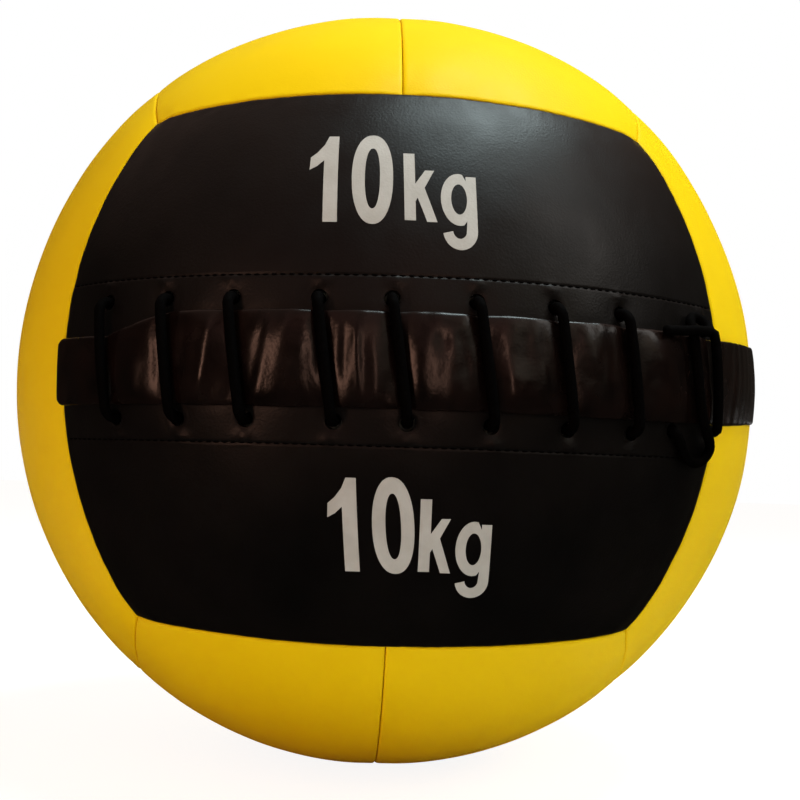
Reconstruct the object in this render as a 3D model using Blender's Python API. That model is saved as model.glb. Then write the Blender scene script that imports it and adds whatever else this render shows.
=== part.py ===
"""Soft wall ball: twelve sewn panels, closed by a laced strip, stuffed round a bag of iron sand.

Front is -Y and up is +Z. The ball rests on the small flat that its own weight presses into it,
and the origin is under its centre, on that flat. A place on the cover is given by two lengths
along the surface, across from the middle of the laced opening and up from it, and by a lift
above the cover, which is negative inside.
"""

import math

import bmesh
import bpy
from mathutils import Matrix, Vector

MM = 0.001

# Whole ball
BALL_WIDTH = 350 * MM
BALL_HEIGHT = 355 * MM
REST_RADIUS = 24 * MM
SHOULDER_SWELL = 2.2 * MM
SHOULDER_DEGREES = 47
SHOULDER_REACH_DEGREES = 16
CLEARANCE = 0.3 * MM

# Cover panels
PANEL_WALL = 1.5 * MM
SEAM_DEPTH = 7.5 * MM
HEM_DEPTH = 3 * MM
ROLL_WIDTH = 3 * MM
ROLL_DEPTH = 1.2 * MM
FRONT_SEAM_DEGREES = 49.2
TOP_SEAM_DEGREES = 53.4
SIDE_SEAM_DEGREES = 51.3
PANEL_STEPS = 12
CORNER_SPREAD_SHARE = 0.05
CUT_MERGE_SHARE = 0.001
SHARP_DEGREES = 35

# Laced opening
OPENING_GAP = 6 * MM
OPENING_SINK = 1.5 * MM
SINK_REACH = 26 * MM

# Eyelets, as places on the cover
EYELET_PITCH = 30.6 * MM
EYELET_COUNT = 8
EYELET_SHIFT_SHARES = (0, 0, -0.08, 0, -0.13, -0.12, -0.12, -0.16)
FIRST_EYELET = -121 * MM
EYELET_HEIGHT = 22 * MM
EYELET_RADIUS = 3 * MM
END_EYELET = 139.5 * MM
END_EYELET_HEIGHT = 20 * MM
END_SLANT = 3.5 * MM
TIE_EYELET = 117 * MM
EYELET_SIDES = 10
PUNCH_OVERRUN = 4 * MM

# Eyelet bands, sewn behind the opening's edges
BAND_WALL = 1.2 * MM
BAND_WIDTH = 26 * MM
BAND_END_MARGIN = 7.5 * MM
BAND_STEPS = 32

# Cover strip
STRIP_WIDTH = 34.5 * MM
STRIP_WALL = 1.5 * MM
STRIP_LEFT_END = -151 * MM
STRIP_RIGHT_END = 227 * MM
STRIP_LEFT_SCANT = 8 * MM
STRIP_RIGHT_RISE = 4.5 * MM
STRIP_CORNER = 4 * MM
STRIP_PUFF = 2 * MM
STRIP_ROWS = 4
PUFF_STEPS = 4
PLAIN_STEP = 9 * MM

# Lace
LACE_DIAMETER = 4 * MM
LACE_SLANT = 6.7 * MM
LACE_SLACK = 0.2 * MM
LACE_INNER_BEND = 2.5 * MM
BEND_STEPS = 3
LACE_TAIL = ((4 * MM, -10 * MM), (2.5 * MM, -3 * MM), (1 * MM, 4 * MM), (0.2 * MM, 11 * MM))

# The slack bight below the strip and the tied end above it, as places across, up and lift
LACE_BIGHT = (
    (117 * MM, -20.1 * MM, 0),
    (117.4 * MM, -21 * MM, 2 * MM),
    (119.2 * MM, -23.6 * MM, 2.9 * MM),
    (122.6 * MM, -27.4 * MM, 2.6 * MM),
    (127.4 * MM, -30.6 * MM, 2.5 * MM),
    (133.4 * MM, -31.6 * MM, 2.5 * MM),
    (138.8 * MM, -29.6 * MM, 2.6 * MM),
    (141 * MM, -26 * MM, 3 * MM),
    (138.6 * MM, -22.8 * MM, 3.8 * MM),
    (134 * MM, -19.2 * MM, 4.7 * MM),
    (130.4 * MM, -14 * MM, 4.6 * MM),
    (128.4 * MM, -8 * MM, 4.4 * MM),
)
LACE_KNOT = (
    (126 * MM, 4 * MM, 4.3 * MM),
    (124.6 * MM, 13 * MM, 4.3 * MM),
    (124 * MM, 17.8 * MM, 4.2 * MM),
    (124.4 * MM, 21.6 * MM, 3 * MM),
    (127 * MM, 24.2 * MM, 2.5 * MM),
    (130.2 * MM, 23.2 * MM, 4 * MM),
    (131 * MM, 20 * MM, 6.4 * MM),
    (128.6 * MM, 17.8 * MM, 8.2 * MM),
    (124.4 * MM, 17.4 * MM, 9 * MM),
    (120 * MM, 17.4 * MM, 8 * MM),
    (115.6 * MM, 17.2 * MM, 6.2 * MM),
    (110 * MM, 16.9 * MM, 5.4 * MM),
    (106.5 * MM, 16.6 * MM, 5.2 * MM),
)

# Liner bag and filling
LINER_WALL = 1 * MM
LINER_SLIT = 5 * MM
LINER_TURNS = 24
LINER_ROWS = 6
SLIT_TAPER_SHARE = 0.25

# Weight bag, its iron sand and its tie
WEIGHT_RADIUS = 72 * MM
WEIGHT_WALL = 1 * MM
NECK_RADIUS = 12 * MM
NECK_LENGTH = 34 * MM
WEIGHT_TURNS = 20
WEIGHT_ROWS = 9
TIE_THICKNESS = 3 * MM
TIE_HEAD = 6 * MM
TIE_TURNS = 16
TIE_SIDES = 6
TIE_SHARE = 0.45

# Worked out from the sizes above
BALL_RADIUS = BALL_WIDTH / 2
HEIGHT_SHARE = BALL_HEIGHT / BALL_WIDTH
REST_DEPTH = BALL_HEIGHT / 2 * (1 - math.sqrt(1 - (REST_RADIUS / BALL_RADIUS) ** 2))
CENTRE_HEIGHT = BALL_HEIGHT / 2 - REST_DEPTH
OPENING_HALF_LENGTH = math.radians(FRONT_SEAM_DEGREES) * BALL_RADIUS
BAND_HALF_LENGTH = END_EYELET + BAND_END_MARGIN
PANEL_FACET_ANGLE = math.radians(FRONT_SEAM_DEGREES) * math.sqrt(2) / PANEL_STEPS
PANEL_FACET_SAG = BALL_RADIUS * (1 - math.cos(PANEL_FACET_ANGLE))
BAND_LIFT = -PANEL_WALL - PANEL_FACET_SAG - CLEARANCE
STRIP_TOP = CLEARANCE + STRIP_WALL
LACE_RADIUS = LACE_DIAMETER / 2
LACE_LIFT = STRIP_TOP + LACE_RADIUS + CLEARANCE + LACE_SLACK
LACE_EXIT = BAND_LIFT - BAND_WALL
LACE_DEEP = LACE_EXIT - LACE_INNER_BEND
LINER_LIFT = min(-SEAM_DEPTH, LACE_DEEP - LACE_RADIUS) - CLEARANCE
FILLING_LIFT = LINER_LIFT - LINER_WALL - CLEARANCE

RIGHT = Vector((1, 0, 0))
BACK = Vector((0, 1, 0))
UP = Vector((0, 0, 1))

BLACK = (0.012, 0.011, 0.012)
YELLOW = (0.86, 0.62, 0.01)
CANVAS = (0.75, 0.73, 0.68)
SACKING = (0.55, 0.5, 0.4)
IRON = (0.05, 0.05, 0.055)
TIE_NYLON = (0.8, 0.8, 0.78)
FIBRE = (0.35, 0.33, 0.34)


def clear_scene():
    for found in list(bpy.data.objects):
        bpy.data.objects.remove(found, do_unlink=True)


def material(name, colour, roughness, metallic=0):
    made = bpy.data.materials.new(name)
    made.use_nodes = True
    shader = made.node_tree.nodes["Principled BSDF"]
    shader.inputs["Base Color"].default_value = (*colour, 1)
    shader.inputs["Roughness"].default_value = roughness
    shader.inputs["Metallic"].default_value = metallic
    made.diffuse_color = (*colour, 1)
    return made


def add_object(name, data, finish):
    made = bpy.data.objects.new(name, data)
    made.data.materials.append(finish)
    bpy.context.scene.collection.objects.link(made)
    return made


def add_solid(name, bm, finish):
    """The closed bmesh as an object, with its faces turned outwards and shaded smooth."""
    bmesh.ops.recalc_face_normals(bm, faces=bm.faces)
    mesh = bpy.data.meshes.new(name)
    bm.to_mesh(mesh)
    bm.free()
    mesh.shade_smooth()
    mesh.set_sharp_from_angle(angle=math.radians(SHARP_DEGREES))
    return add_object(name, mesh, finish)


def add_cutter(name, bm):
    cutter = add_solid(name, bm, material(name, BLACK, 1))
    cutter.hide_render = True
    cutter.display_type = "WIRE"
    return cutter


def cut(target, cutter):
    boolean = target.modifiers.new("cut_" + cutter.name, "BOOLEAN")
    boolean.operation = "DIFFERENCE"
    boolean.solver = "EXACT"
    boolean.object = cutter


def opening_sink(heading):
    """How far the lacing draws the cover in: most at the middle of the opening, none at its ends."""
    if heading.y >= 0:
        return 0
    across = math.atan2(heading.x, -heading.y) * BALL_RADIUS
    up = math.asin(heading.z) * BALL_RADIUS
    fade = max(0, 1 - (across / OPENING_HALF_LENGTH) ** 2) ** 2
    return OPENING_SINK * fade * math.exp(-((up / SINK_REACH) ** 2))


def shoulder_swell(heading):
    """How far the stuffing fills the ball out halfway up to its top, all the way round."""
    latitude = math.degrees(math.asin(min(1, heading.z)))
    return SHOULDER_SWELL * math.exp(-(((latitude - SHOULDER_DEGREES) / SHOULDER_REACH_DEGREES) ** 2))


def on_ball(heading, lift):
    """The point this far above the cover, on the line from the ball's centre along the heading."""
    point = heading * (BALL_RADIUS + lift + shoulder_swell(heading) - opening_sink(heading))
    point.z = point.z * HEIGHT_SHARE + CENTRE_HEIGHT
    return point


def rested(point, lift):
    """The point held above the flat that the ball rests on."""
    return Vector((point.x, point.y, max(point.z, -lift)))


def heading_to(across, up):
    longitude, latitude = across / BALL_RADIUS, up / BALL_RADIUS
    return Vector(
        (
            math.cos(latitude) * math.sin(longitude),
            -math.cos(latitude) * math.cos(longitude),
            math.sin(latitude),
        )
    )


def spot(across, up, lift):
    return on_ball(heading_to(across, up), lift)


# Seams between panels


def seam_arc(start, middle, end, steps):
    """Headings along the flat cut through three headings, so that every seam lies in a plane."""
    axis = (middle - start).cross(end - start).normalized()
    centre = axis * axis.dot(start)
    first = start - centre
    turn = first.angle(middle - centre) + (middle - centre).angle(end - centre)
    return [
        centre + Matrix.Rotation(turn * i / steps, 3, axis) @ first
        for i in range(steps + 1)
    ]


def seam_end(face, towards, degrees):
    """Where the seam across a face ends, that many degrees from the face's middle."""
    angle = math.radians(degrees)
    return face * math.cos(angle) + towards * math.sin(angle)


def panel_edges(face, along, side, degrees, side_degrees):
    """The four edges of a panel as headings: its straight seam, its two ends and its long edge."""
    far, near = along.copy(), -along
    ridge_ends = [seam_end(face, way, degrees) for way in (near, far)]
    ridge = seam_arc(ridge_ends[0], face, ridge_ends[1], PANEL_STEPS)
    corners = [(face + side + way).normalized() for way in (near, far)]
    long_edge = seam_arc(corners[0], seam_end(side, face, side_degrees), corners[1], PANEL_STEPS)
    ends = []
    for way in (near, far):
        other = (face - side + way).normalized()
        corner = (face + side + way).normalized()
        whole = seam_arc(other, seam_end(face, way, degrees), corner, PANEL_STEPS)
        ends.append(whole[PANEL_STEPS // 2 :])
    return ridge, long_edge, ends[0], ends[1]


def blend_edges(ridge, long_edge, near_end, far_end):
    """A grid of headings that fills the four edges."""
    rows = len(near_end) - 1
    grid = []
    for i in range(PANEL_STEPS + 1):
        u = i / PANEL_STEPS
        column = []
        for j in range(rows + 1):
            v = j / rows
            across = near_end[j] * (1 - u) + far_end[j] * u
            along = ridge[i] * (1 - v) + long_edge[i] * v
            corners = (ridge[0] * (1 - u) + ridge[-1] * u) * (1 - v)
            corners += (long_edge[0] * (1 - u) + long_edge[-1] * u) * v
            column.append((across + along - corners).normalized())
        grid.append(column)
    return grid


def border_of(columns, rows):
    """The grid's border cells in order, with the side that each one leads in from and out to."""
    border = [(i, 0, "ridge", "ridge") for i in range(columns + 1)]
    border += [(columns, j, "far", "far") for j in range(1, rows + 1)]
    border += [(i, rows, "long", "long") for i in range(columns - 1, -1, -1)]
    border += [(0, j, "near", "near") for j in range(rows - 1, 0, -1)]
    turned = {
        (0, 0): ("near", "ridge"),
        (columns, 0): ("ridge", "far"),
        (columns, rows): ("far", "long"),
        (0, rows): ("long", "near"),
    }
    return [(i, j, *turned.get((i, j), (before, after))) for i, j, before, after in border]


def inset(loop, distances):
    """The loop of headings drawn in by a pair of lengths at each point, before and after it."""
    drawn = []
    middle = sum(loop, Vector()).normalized()
    for k, here in enumerate(loop):
        before = (here - loop[k - 1]).normalized()
        after = (loop[(k + 1) % len(loop)] - here).normalized()
        inward = [here.cross(way).normalized() for way in (before, after)]
        if inward[0].dot(middle - here) + inward[1].dot(middle - here) < 0:
            inward = [-way for way in inward]
        first, second = (length / BALL_RADIUS for length in distances[k])
        shared = inward[0].dot(inward[1])
        spread = 1 - shared * shared
        if spread < CORNER_SPREAD_SHARE:
            mean = (inward[0] + inward[1]).normalized()
            step = mean * (first + second) / (mean.dot(inward[0]) + mean.dot(inward[1]))
        else:
            step = inward[0] * (first - second * shared) / spread
            step += inward[1] * (second - first * shared) / spread
        drawn.append((here + step).normalized())
    return drawn


def stitch_rings(bm, lower, upper):
    for k in range(len(lower)):
        after = (k + 1) % len(lower)
        bm.faces.new((lower[k], lower[after], upper[after], upper[k]))


def grid_faces(bm, grid):
    for i in range(len(grid) - 1):
        for j in range(len(grid[0]) - 1):
            bm.faces.new((grid[i][j], grid[i + 1][j], grid[i + 1][j + 1], grid[i][j + 1]))


def flatten_underside(bm, lifts):
    """Presses the lowest part flat: the skins are cut where they meet their floor, then raised."""
    merge = CLEARANCE * CUT_MERGE_SHARE
    for lift in (0, -PANEL_WALL):
        everything = bm.verts[:] + bm.edges[:] + bm.faces[:]
        bmesh.ops.bisect_plane(bm, geom=everything, plane_co=UP * -lift, plane_no=UP, dist=merge)
    for vert in bm.verts:
        vert.co = rested(vert.co, vert[lifts])


def panel_mesh(face, along, side, degrees, side_degrees, opens):
    """A panel with its edges rolled over and turned in as seam allowances."""
    edges = panel_edges(face, along, side, degrees, side_degrees)
    headings = blend_edges(*edges)
    columns, rows = len(headings) - 1, len(headings[0]) - 1
    border = border_of(columns, rows)
    loop = [headings[i][j] for i, j, before, after in border]

    def edge_gap(edge, i):
        if edge == "ridge" and opens:
            return (CLEARANCE + OPENING_GAP * (1 - (2 * i / columns - 1) ** 2)) / 2
        return CLEARANCE / 2

    def drawn_in(extra):
        pairs = [
            [edge_gap(edge, i) + extra for edge in (before, after)]
            for i, j, before, after in border
        ]
        return inset(loop, pairs)

    def depth_at(k):
        hemmed = opens and border[k][2] == border[k][3] == "ridge"
        return HEM_DEPTH if hemmed else SEAM_DEPTH

    bm = bmesh.new()
    lifts = bm.verts.layers.float.new("lift")

    def add(heading, lift):
        vert = bm.verts.new(on_ball(heading, lift))
        vert[lifts] = lift
        return vert

    def ring(extra, lift_at):
        return [add(heading, lift_at(k)) for k, heading in enumerate(drawn_in(extra))]

    shoulder = ring(ROLL_WIDTH, lambda k: 0)
    rolled = ring(0, lambda k: -ROLL_DEPTH)
    outer_foot = ring(0, lambda k: -depth_at(k))
    inner_foot = ring(PANEL_WALL, lambda k: -depth_at(k))
    inner_edge = ring(PANEL_WALL, lambda k: -PANEL_WALL)
    for rim, lift in ((shoulder, 0), (inner_edge, -PANEL_WALL)):
        at = {(i, j): rim[k] for k, (i, j, before, after) in enumerate(border)}
        grid = [
            [at[i, j] if (i, j) in at else add(headings[i][j], lift) for j in range(rows + 1)]
            for i in range(columns + 1)
        ]
        grid_faces(bm, grid)
    for lower, upper in (
        (shoulder, rolled),
        (rolled, outer_foot),
        (outer_foot, inner_foot),
        (inner_foot, inner_edge),
    ):
        stitch_rings(bm, lower, upper)
    if face.z < 0:
        flatten_underside(bm, lifts)
    return bm


def make_panels():
    """Six faces of two panels each, whose straight seams run across, away and up in turn."""
    faces = (
        ("front", -BACK, RIGHT, UP, FRONT_SEAM_DEGREES, TOP_SEAM_DEGREES, ("upper", "lower")),
        ("back", BACK, RIGHT, UP, FRONT_SEAM_DEGREES, TOP_SEAM_DEGREES, ("upper", "lower")),
        ("top", UP, BACK, RIGHT, TOP_SEAM_DEGREES, SIDE_SEAM_DEGREES, ("right", "left")),
        ("bottom", -UP, BACK, RIGHT, TOP_SEAM_DEGREES, SIDE_SEAM_DEGREES, ("right", "left")),
        ("right", RIGHT, UP, BACK, SIDE_SEAM_DEGREES, FRONT_SEAM_DEGREES, ("back", "front")),
        ("left", -RIGHT, UP, BACK, SIDE_SEAM_DEGREES, FRONT_SEAM_DEGREES, ("back", "front")),
    )
    panels = {}
    for where, face, along, side, degrees, side_degrees, halves in faces:
        for half, way in zip(halves, (side, -side)):
            name = f"panel_{where}_{half}"
            opens = where == "front"
            finish = material(name, *((BLACK, 0.3) if opens else (YELLOW, 0.4)))
            bm = panel_mesh(face, along, way, degrees, side_degrees, opens)
            panels[name] = add_solid(name, bm, finish)
    return panels


# Eyelets


def upper_eyelets():
    return [
        (FIRST_EYELET + (k + EYELET_SHIFT_SHARES[k]) * EYELET_PITCH, EYELET_HEIGHT)
        for k in range(EYELET_COUNT)
    ]


def lower_eyelets():
    return [(across + LACE_SLANT, -up) for across, up in upper_eyelets()]


def end_eyelets():
    return (END_EYELET, END_EYELET_HEIGHT), (END_EYELET + END_SLANT, -END_EYELET_HEIGHT)


def tie_eyelet():
    return (TIE_EYELET, -END_EYELET_HEIGHT)


def make_punches():
    """One round cutter along the heading of each eyelet, through the panels and the bands."""
    bm = bmesh.new()
    places = upper_eyelets() + lower_eyelets() + [*end_eyelets(), tie_eyelet()]
    for across, up in places:
        outside = spot(across, up, PUNCH_OVERRUN)
        inside = spot(across, up, LACE_EXIT - PUNCH_OVERRUN)
        turn = (outside - inside).to_track_quat("Z", "Y").to_matrix().to_4x4()
        bmesh.ops.create_cone(
            bm,
            cap_ends=True,
            segments=EYELET_SIDES,
            radius1=EYELET_RADIUS,
            radius2=EYELET_RADIUS,
            depth=(outside - inside).length,
            matrix=Matrix.Translation((outside + inside) / 2) @ turn,
        )
    return add_cutter("eyelet_punches", bm)


def slab_mesh(columns, rows, place):
    """A closed slab over a grid of columns and rows, from place(column, row, 0 below or 1 above)."""
    bm = bmesh.new()
    skins = []
    for level in (0, 1):
        grid = [
            [bm.verts.new(place(i, j, level)) for j in range(rows + 1)]
            for i in range(columns + 1)
        ]
        grid_faces(bm, grid)
        skins.append(grid)
    border = border_of(columns, rows)
    rims = [[grid[i][j] for i, j, before, after in border] for grid in skins]
    stitch_rings(bm, *rims)
    return bm


def make_bands(punches):
    """The doubled strips that the eyelets are punched through, behind the opening's two hems."""
    bands = []
    for name, way in (("eyelet_band_upper", 1), ("eyelet_band_lower", -1)):

        def place(i, j, level):
            across = BAND_HALF_LENGTH * (2 * i / BAND_STEPS - 1)
            lens = 1 - (across / OPENING_HALF_LENGTH) ** 2
            inner = (OPENING_GAP * lens + CLEARANCE) / 2 + PANEL_WALL + CLEARANCE
            return spot(across, way * (inner + BAND_WIDTH * j), LACE_EXIT + BAND_WALL * level)

        band = add_solid(name, slab_mesh(BAND_STEPS, 1, place), material(name, BLACK, 0.6))
        cut(band, punches)
        bands.append(band)
    return bands


# Cover strip


def pass_lines():
    """Where each lace pass crosses the middle of the strip."""
    tops, bottoms = upper_eyelets(), lower_eyelets()
    crossings = [(top[0] + bottom[0]) / 2 for top, bottom in zip(tops, bottoms)]
    first_end, second_end = end_eyelets()
    return crossings + [LACE_KNOT[0][0], (first_end[0] + second_end[0]) / 2]


def strip_columns():
    """Places along the strip's middle, each with its puff: flat under a pass and full between two."""
    lines = pass_lines()
    left_steps = round((lines[0] - STRIP_LEFT_END) / PLAIN_STEP)
    right_steps = round((STRIP_RIGHT_END - lines[-1]) / PLAIN_STEP)
    plain = lines[0] - STRIP_LEFT_END
    columns = [(STRIP_LEFT_END + plain * k / left_steps, 0) for k in range(left_steps)]
    for left, right in zip(lines, lines[1:]):
        tight = min(1, (right - left) / EYELET_PITCH)
        for k in range(PUFF_STEPS):
            share = k / PUFF_STEPS
            puff = STRIP_PUFF * tight * math.sin(math.pi * share)
            columns.append((left + (right - left) * share, puff))
    plain = STRIP_RIGHT_END - lines[-1]
    columns += [(lines[-1] + plain * k / right_steps, 0) for k in range(right_steps + 1)]
    return columns


def strip_edges(middle):
    """The strip's two edges: it is cut lower left of the second pass, and rises past the last one."""
    first, second, *_, last = pass_lines()
    held = last + LACE_DIAMETER
    scant = STRIP_LEFT_SCANT * min(1, max(0, (second - middle) / (second - first)))
    rise = STRIP_RIGHT_RISE * max(0, (middle - held) / (STRIP_RIGHT_END - held))
    return rise - STRIP_WIDTH / 2, rise + STRIP_WIDTH / 2 - scant


def make_strip():
    columns = strip_columns()
    lines = pass_lines()

    def place(i, j, level):
        middle, puff = columns[i]
        up_share = 2 * j / STRIP_ROWS - 1
        low, high = strip_edges(middle)
        up = low + (high - low) * j / STRIP_ROWS
        if i in (0, len(columns) - 1):
            up -= math.copysign(STRIP_CORNER, up_share) * (abs(up_share) == 1)
        leans = lines[0] <= middle <= lines[-2]
        across = middle - (LACE_SLANT * up / (2 * EYELET_HEIGHT) if leans else 0)
        crown = 1 - up_share * up_share / 2
        return spot(across, up, CLEARANCE + puff * crown + STRIP_WALL * level)

    bm = slab_mesh(len(columns) - 1, STRIP_ROWS, place)
    return add_solid("cover_strip", bm, material("cover_strip", BLACK, 0.25))


# Lace


def quarter_bend(share, reach, rise):
    angle = share * math.pi / 2
    return reach * math.cos(angle), rise * math.sin(angle)


def pass_over(start, end):
    """From one eyelet up over the strip to the other, as places across, up and lift."""
    (across_1, up_1), (across_2, up_2) = start, end
    edge = math.copysign(STRIP_WIDTH / 2, up_1)
    shares = [k / BEND_STEPS for k in range(BEND_STEPS + 1)]
    bends = [quarter_bend(share, abs(up_1) - abs(edge), LACE_LIFT) for share in shares]
    climb = [(math.copysign(abs(edge) + out, up_1), lift) for out, lift in bends]
    flat = [(edge * share, LACE_LIFT) for share in (1 / 3, -1 / 3)]
    fall = [(-up, lift) for up, lift in reversed(climb)]
    return slanted(climb + flat + fall, across_1, up_1, across_2, up_2)


def pass_under(start, end):
    """From one eyelet in behind the bands to the other."""
    (across_1, up_1), (across_2, up_2) = start, end
    shares = [k / BEND_STEPS for k in range(BEND_STEPS + 1)]
    bends = [quarter_bend(share, LACE_INNER_BEND, LACE_INNER_BEND) for share in shares]
    lean = math.copysign(1, up_1)
    inwards = [(LACE_INNER_BEND - out, LACE_EXIT - drop) for out, drop in bends]
    dive = [(up_1 - lean * step, lift) for step, lift in inwards]
    lean = math.copysign(1, up_2)
    rise = [(up_2 - lean * step, lift) for step, lift in reversed(inwards)]
    first, last = dive[-1], rise[0]
    flat = [(first[0] + (last[0] - first[0]) * share, first[1]) for share in (1 / 3, 2 / 3)]
    return slanted(dive + flat + rise, across_1, up_1, across_2, up_2)


def slanted(profile, across_1, up_1, across_2, up_2):
    """Gives each place of a profile its share of the way across, by how far up it has moved."""
    slope = (across_2 - across_1) / (up_2 - up_1)
    return [(across_1 + (up - up_1) * slope, up, lift) for up, lift in profile]


def pass_beside(start, end):
    """From one eyelet in behind the bands to another on the same side of the opening."""
    shares = [k / BEND_STEPS for k in range(BEND_STEPS + 1)]
    bends = [quarter_bend(share, LACE_INNER_BEND, LACE_INNER_BEND) for share in shares]
    way = math.copysign(1, end[0] - start[0])
    inwards = [(way * (LACE_INNER_BEND - out), LACE_EXIT - drop) for out, drop in bends]
    dive = [(start[0] + step, start[1], lift) for step, lift in inwards]
    rise = [(end[0] - step, end[1], lift) for step, lift in reversed(inwards)]
    return dive + rise


def lace_route():
    """The lace's whole way: a tucked end, the passes to the right, the bight and the tied end."""
    tops, bottoms = upper_eyelets(), lower_eyelets()
    first_end, second_end = end_eyelets()
    start_across, start_up = tops[0]
    route = [(start_across + across, up, LACE_DEEP) for across, up in LACE_TAIL]
    shares = [1 - k / BEND_STEPS for k in range(BEND_STEPS + 1)]
    for out, drop in (quarter_bend(share, LACE_INNER_BEND, LACE_INNER_BEND) for share in shares):
        route.append((start_across, start_up - LACE_INNER_BEND + out, LACE_EXIT - drop))
    for k in range(EYELET_COUNT):
        route += pass_over(tops[k], bottoms[k])
        route += pass_under(bottoms[k], tops[k + 1] if k + 1 < EYELET_COUNT else first_end)
    route += pass_over(first_end, second_end)
    route += pass_beside(second_end, tie_eyelet())
    route += LACE_BIGHT
    route += LACE_KNOT
    return route


def smoothed(points, closeness):
    """Points about this far apart on a smooth curve through the given ones."""
    ends = [points[0] * 2 - points[1], *points, points[-1] * 2 - points[-2]]
    curve = []
    for before, start, end, after in zip(ends, ends[1:], ends[2:], ends[3:]):
        steps = max(1, round((end - start).length / closeness))
        for k in range(steps):
            t = k / steps
            bend = before * -0.5 + start * 1.5 - end * 1.5 + after * 0.5
            lean = before - start * 2.5 + end * 2 - after * 0.5
            curve.append(start + ((end - before) * 0.5 + (lean + bend * t) * t) * t)
    return [*curve, points[-1]]


def least_gap(points, diameter):
    """The least distance between two stretches that are well apart along the tube, skin to skin."""
    travelled = [0]
    for before, after in zip(points, points[1:]):
        travelled.append(travelled[-1] + (after - before).length)
    least = BALL_WIDTH
    for i, here in enumerate(points):
        for j in range(i + 1, len(points)):
            apart = (points[j] - here).length
            if travelled[j] - travelled[i] > math.pi / 2 * max(apart, diameter):
                least = min(least, apart - diameter)
    return least


def make_lace():
    points = smoothed([spot(*place) for place in lace_route()], 2 * LACE_DIAMETER)
    print(f"least gap of the lace to itself: {least_gap(points, LACE_DIAMETER) / MM:.2f} mm")
    curve = bpy.data.curves.new("lace", "CURVE")
    curve.dimensions = "3D"
    curve.bevel_depth = LACE_RADIUS
    curve.bevel_resolution = 1
    curve.use_fill_caps = True
    spline = curve.splines.new("POLY")
    spline.points.add(len(points) - 1)
    for spline_point, point in zip(spline.points, points):
        spline_point.co = (*point, 1)
    return add_object("lace", curve, material("lace", BLACK, 0.8))


# Liner bag and filling


def liner_headings(way):
    """Rings of headings from the liner's joining seam towards its pole."""
    quarter = BALL_RADIUS * math.pi / 2
    ups = [way * quarter * row / LINER_ROWS for row in range(LINER_ROWS)]
    acrosses = [4 * quarter * k / LINER_TURNS for k in range(LINER_TURNS)]
    return [[heading_to(across, up) for across in acrosses] for up in ups]


def dome_rings(bm, way, lift, edge_gap):
    """The rings and the pole of one half of a nested layer."""
    rings = []
    for row, headings in enumerate(liner_headings(way)):
        ring = []
        for heading in headings:
            point = rested(on_ball(heading, lift), lift)
            if row == 0:
                point.z = CENTRE_HEIGHT + way * edge_gap(heading)
            ring.append(bm.verts.new(point))
        rings.append(ring)
    for lower, upper in zip(rings, rings[1:]):
        stitch_rings(bm, lower, upper)
    pole = bm.verts.new(rested(on_ball(UP * way, lift), lift))
    for k, vert in enumerate(rings[-1]):
        bm.faces.new((vert, rings[-1][(k + 1) % LINER_TURNS], pole))
    return rings


def slit_gap(heading):
    """Half the gap between the liner's halves: sewn up, but open behind the laced opening."""
    facing = max(0, -heading.y - math.cos(math.radians(FRONT_SEAM_DEGREES)))
    return CLEARANCE / 2 + LINER_SLIT / 2 * min(1, facing / SLIT_TAPER_SHARE)


def make_liner():
    """The cloth bag round the filling, of two halves sewn at the equator."""
    halves = []
    for name, way in (("liner_upper", 1), ("liner_lower", -1)):
        bm = bmesh.new()
        outer = dome_rings(bm, way, LINER_LIFT, slit_gap)
        inner = dome_rings(bm, way, LINER_LIFT - LINER_WALL, slit_gap)
        stitch_rings(bm, outer[0], inner[0])
        halves.append(add_solid(name, bm, material(name, CANVAS, 0.9)))
    return halves


def weight_profile(grow, neck_radius, neck_end):
    """The outline of the weight bag, from its bottom pole to the end of its neck, grown by a length."""
    radius = WEIGHT_RADIUS + grow
    neck = neck_radius + grow
    stop = math.pi - math.asin(NECK_RADIUS / WEIGHT_RADIUS)
    turns = [stop * k / WEIGHT_ROWS for k in range(WEIGHT_ROWS)]
    outline = [(radius * math.sin(turn), -radius * math.cos(turn)) for turn in turns]
    return outline + [(neck, math.sqrt(radius**2 - neck**2)), (neck, neck_end)]


def turned_mesh(outline, turns):
    """The outline, as radius and distance forward, turned round the line to the front."""
    bm = bmesh.new()
    centre = UP * CENTRE_HEIGHT
    rings = []
    for radius, forward in outline:
        middle = centre - BACK * forward
        if radius == 0:
            rings.append([bm.verts.new(middle)])
            continue
        angles = [2 * math.pi * k / turns for k in range(turns)]
        rings.append(
            [bm.verts.new(middle + (RIGHT * math.cos(a) + UP * math.sin(a)) * radius) for a in angles]
        )
    for lower, upper in zip(rings, rings[1:]):
        if len(lower) > 1 and len(upper) > 1:
            stitch_rings(bm, lower, upper)
            continue
        tip, ring = (lower[0], upper) if len(lower) == 1 else (upper[0], lower)
        for k in range(turns):
            bm.faces.new((tip, ring[k], ring[(k + 1) % turns]))
    return bm


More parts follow.
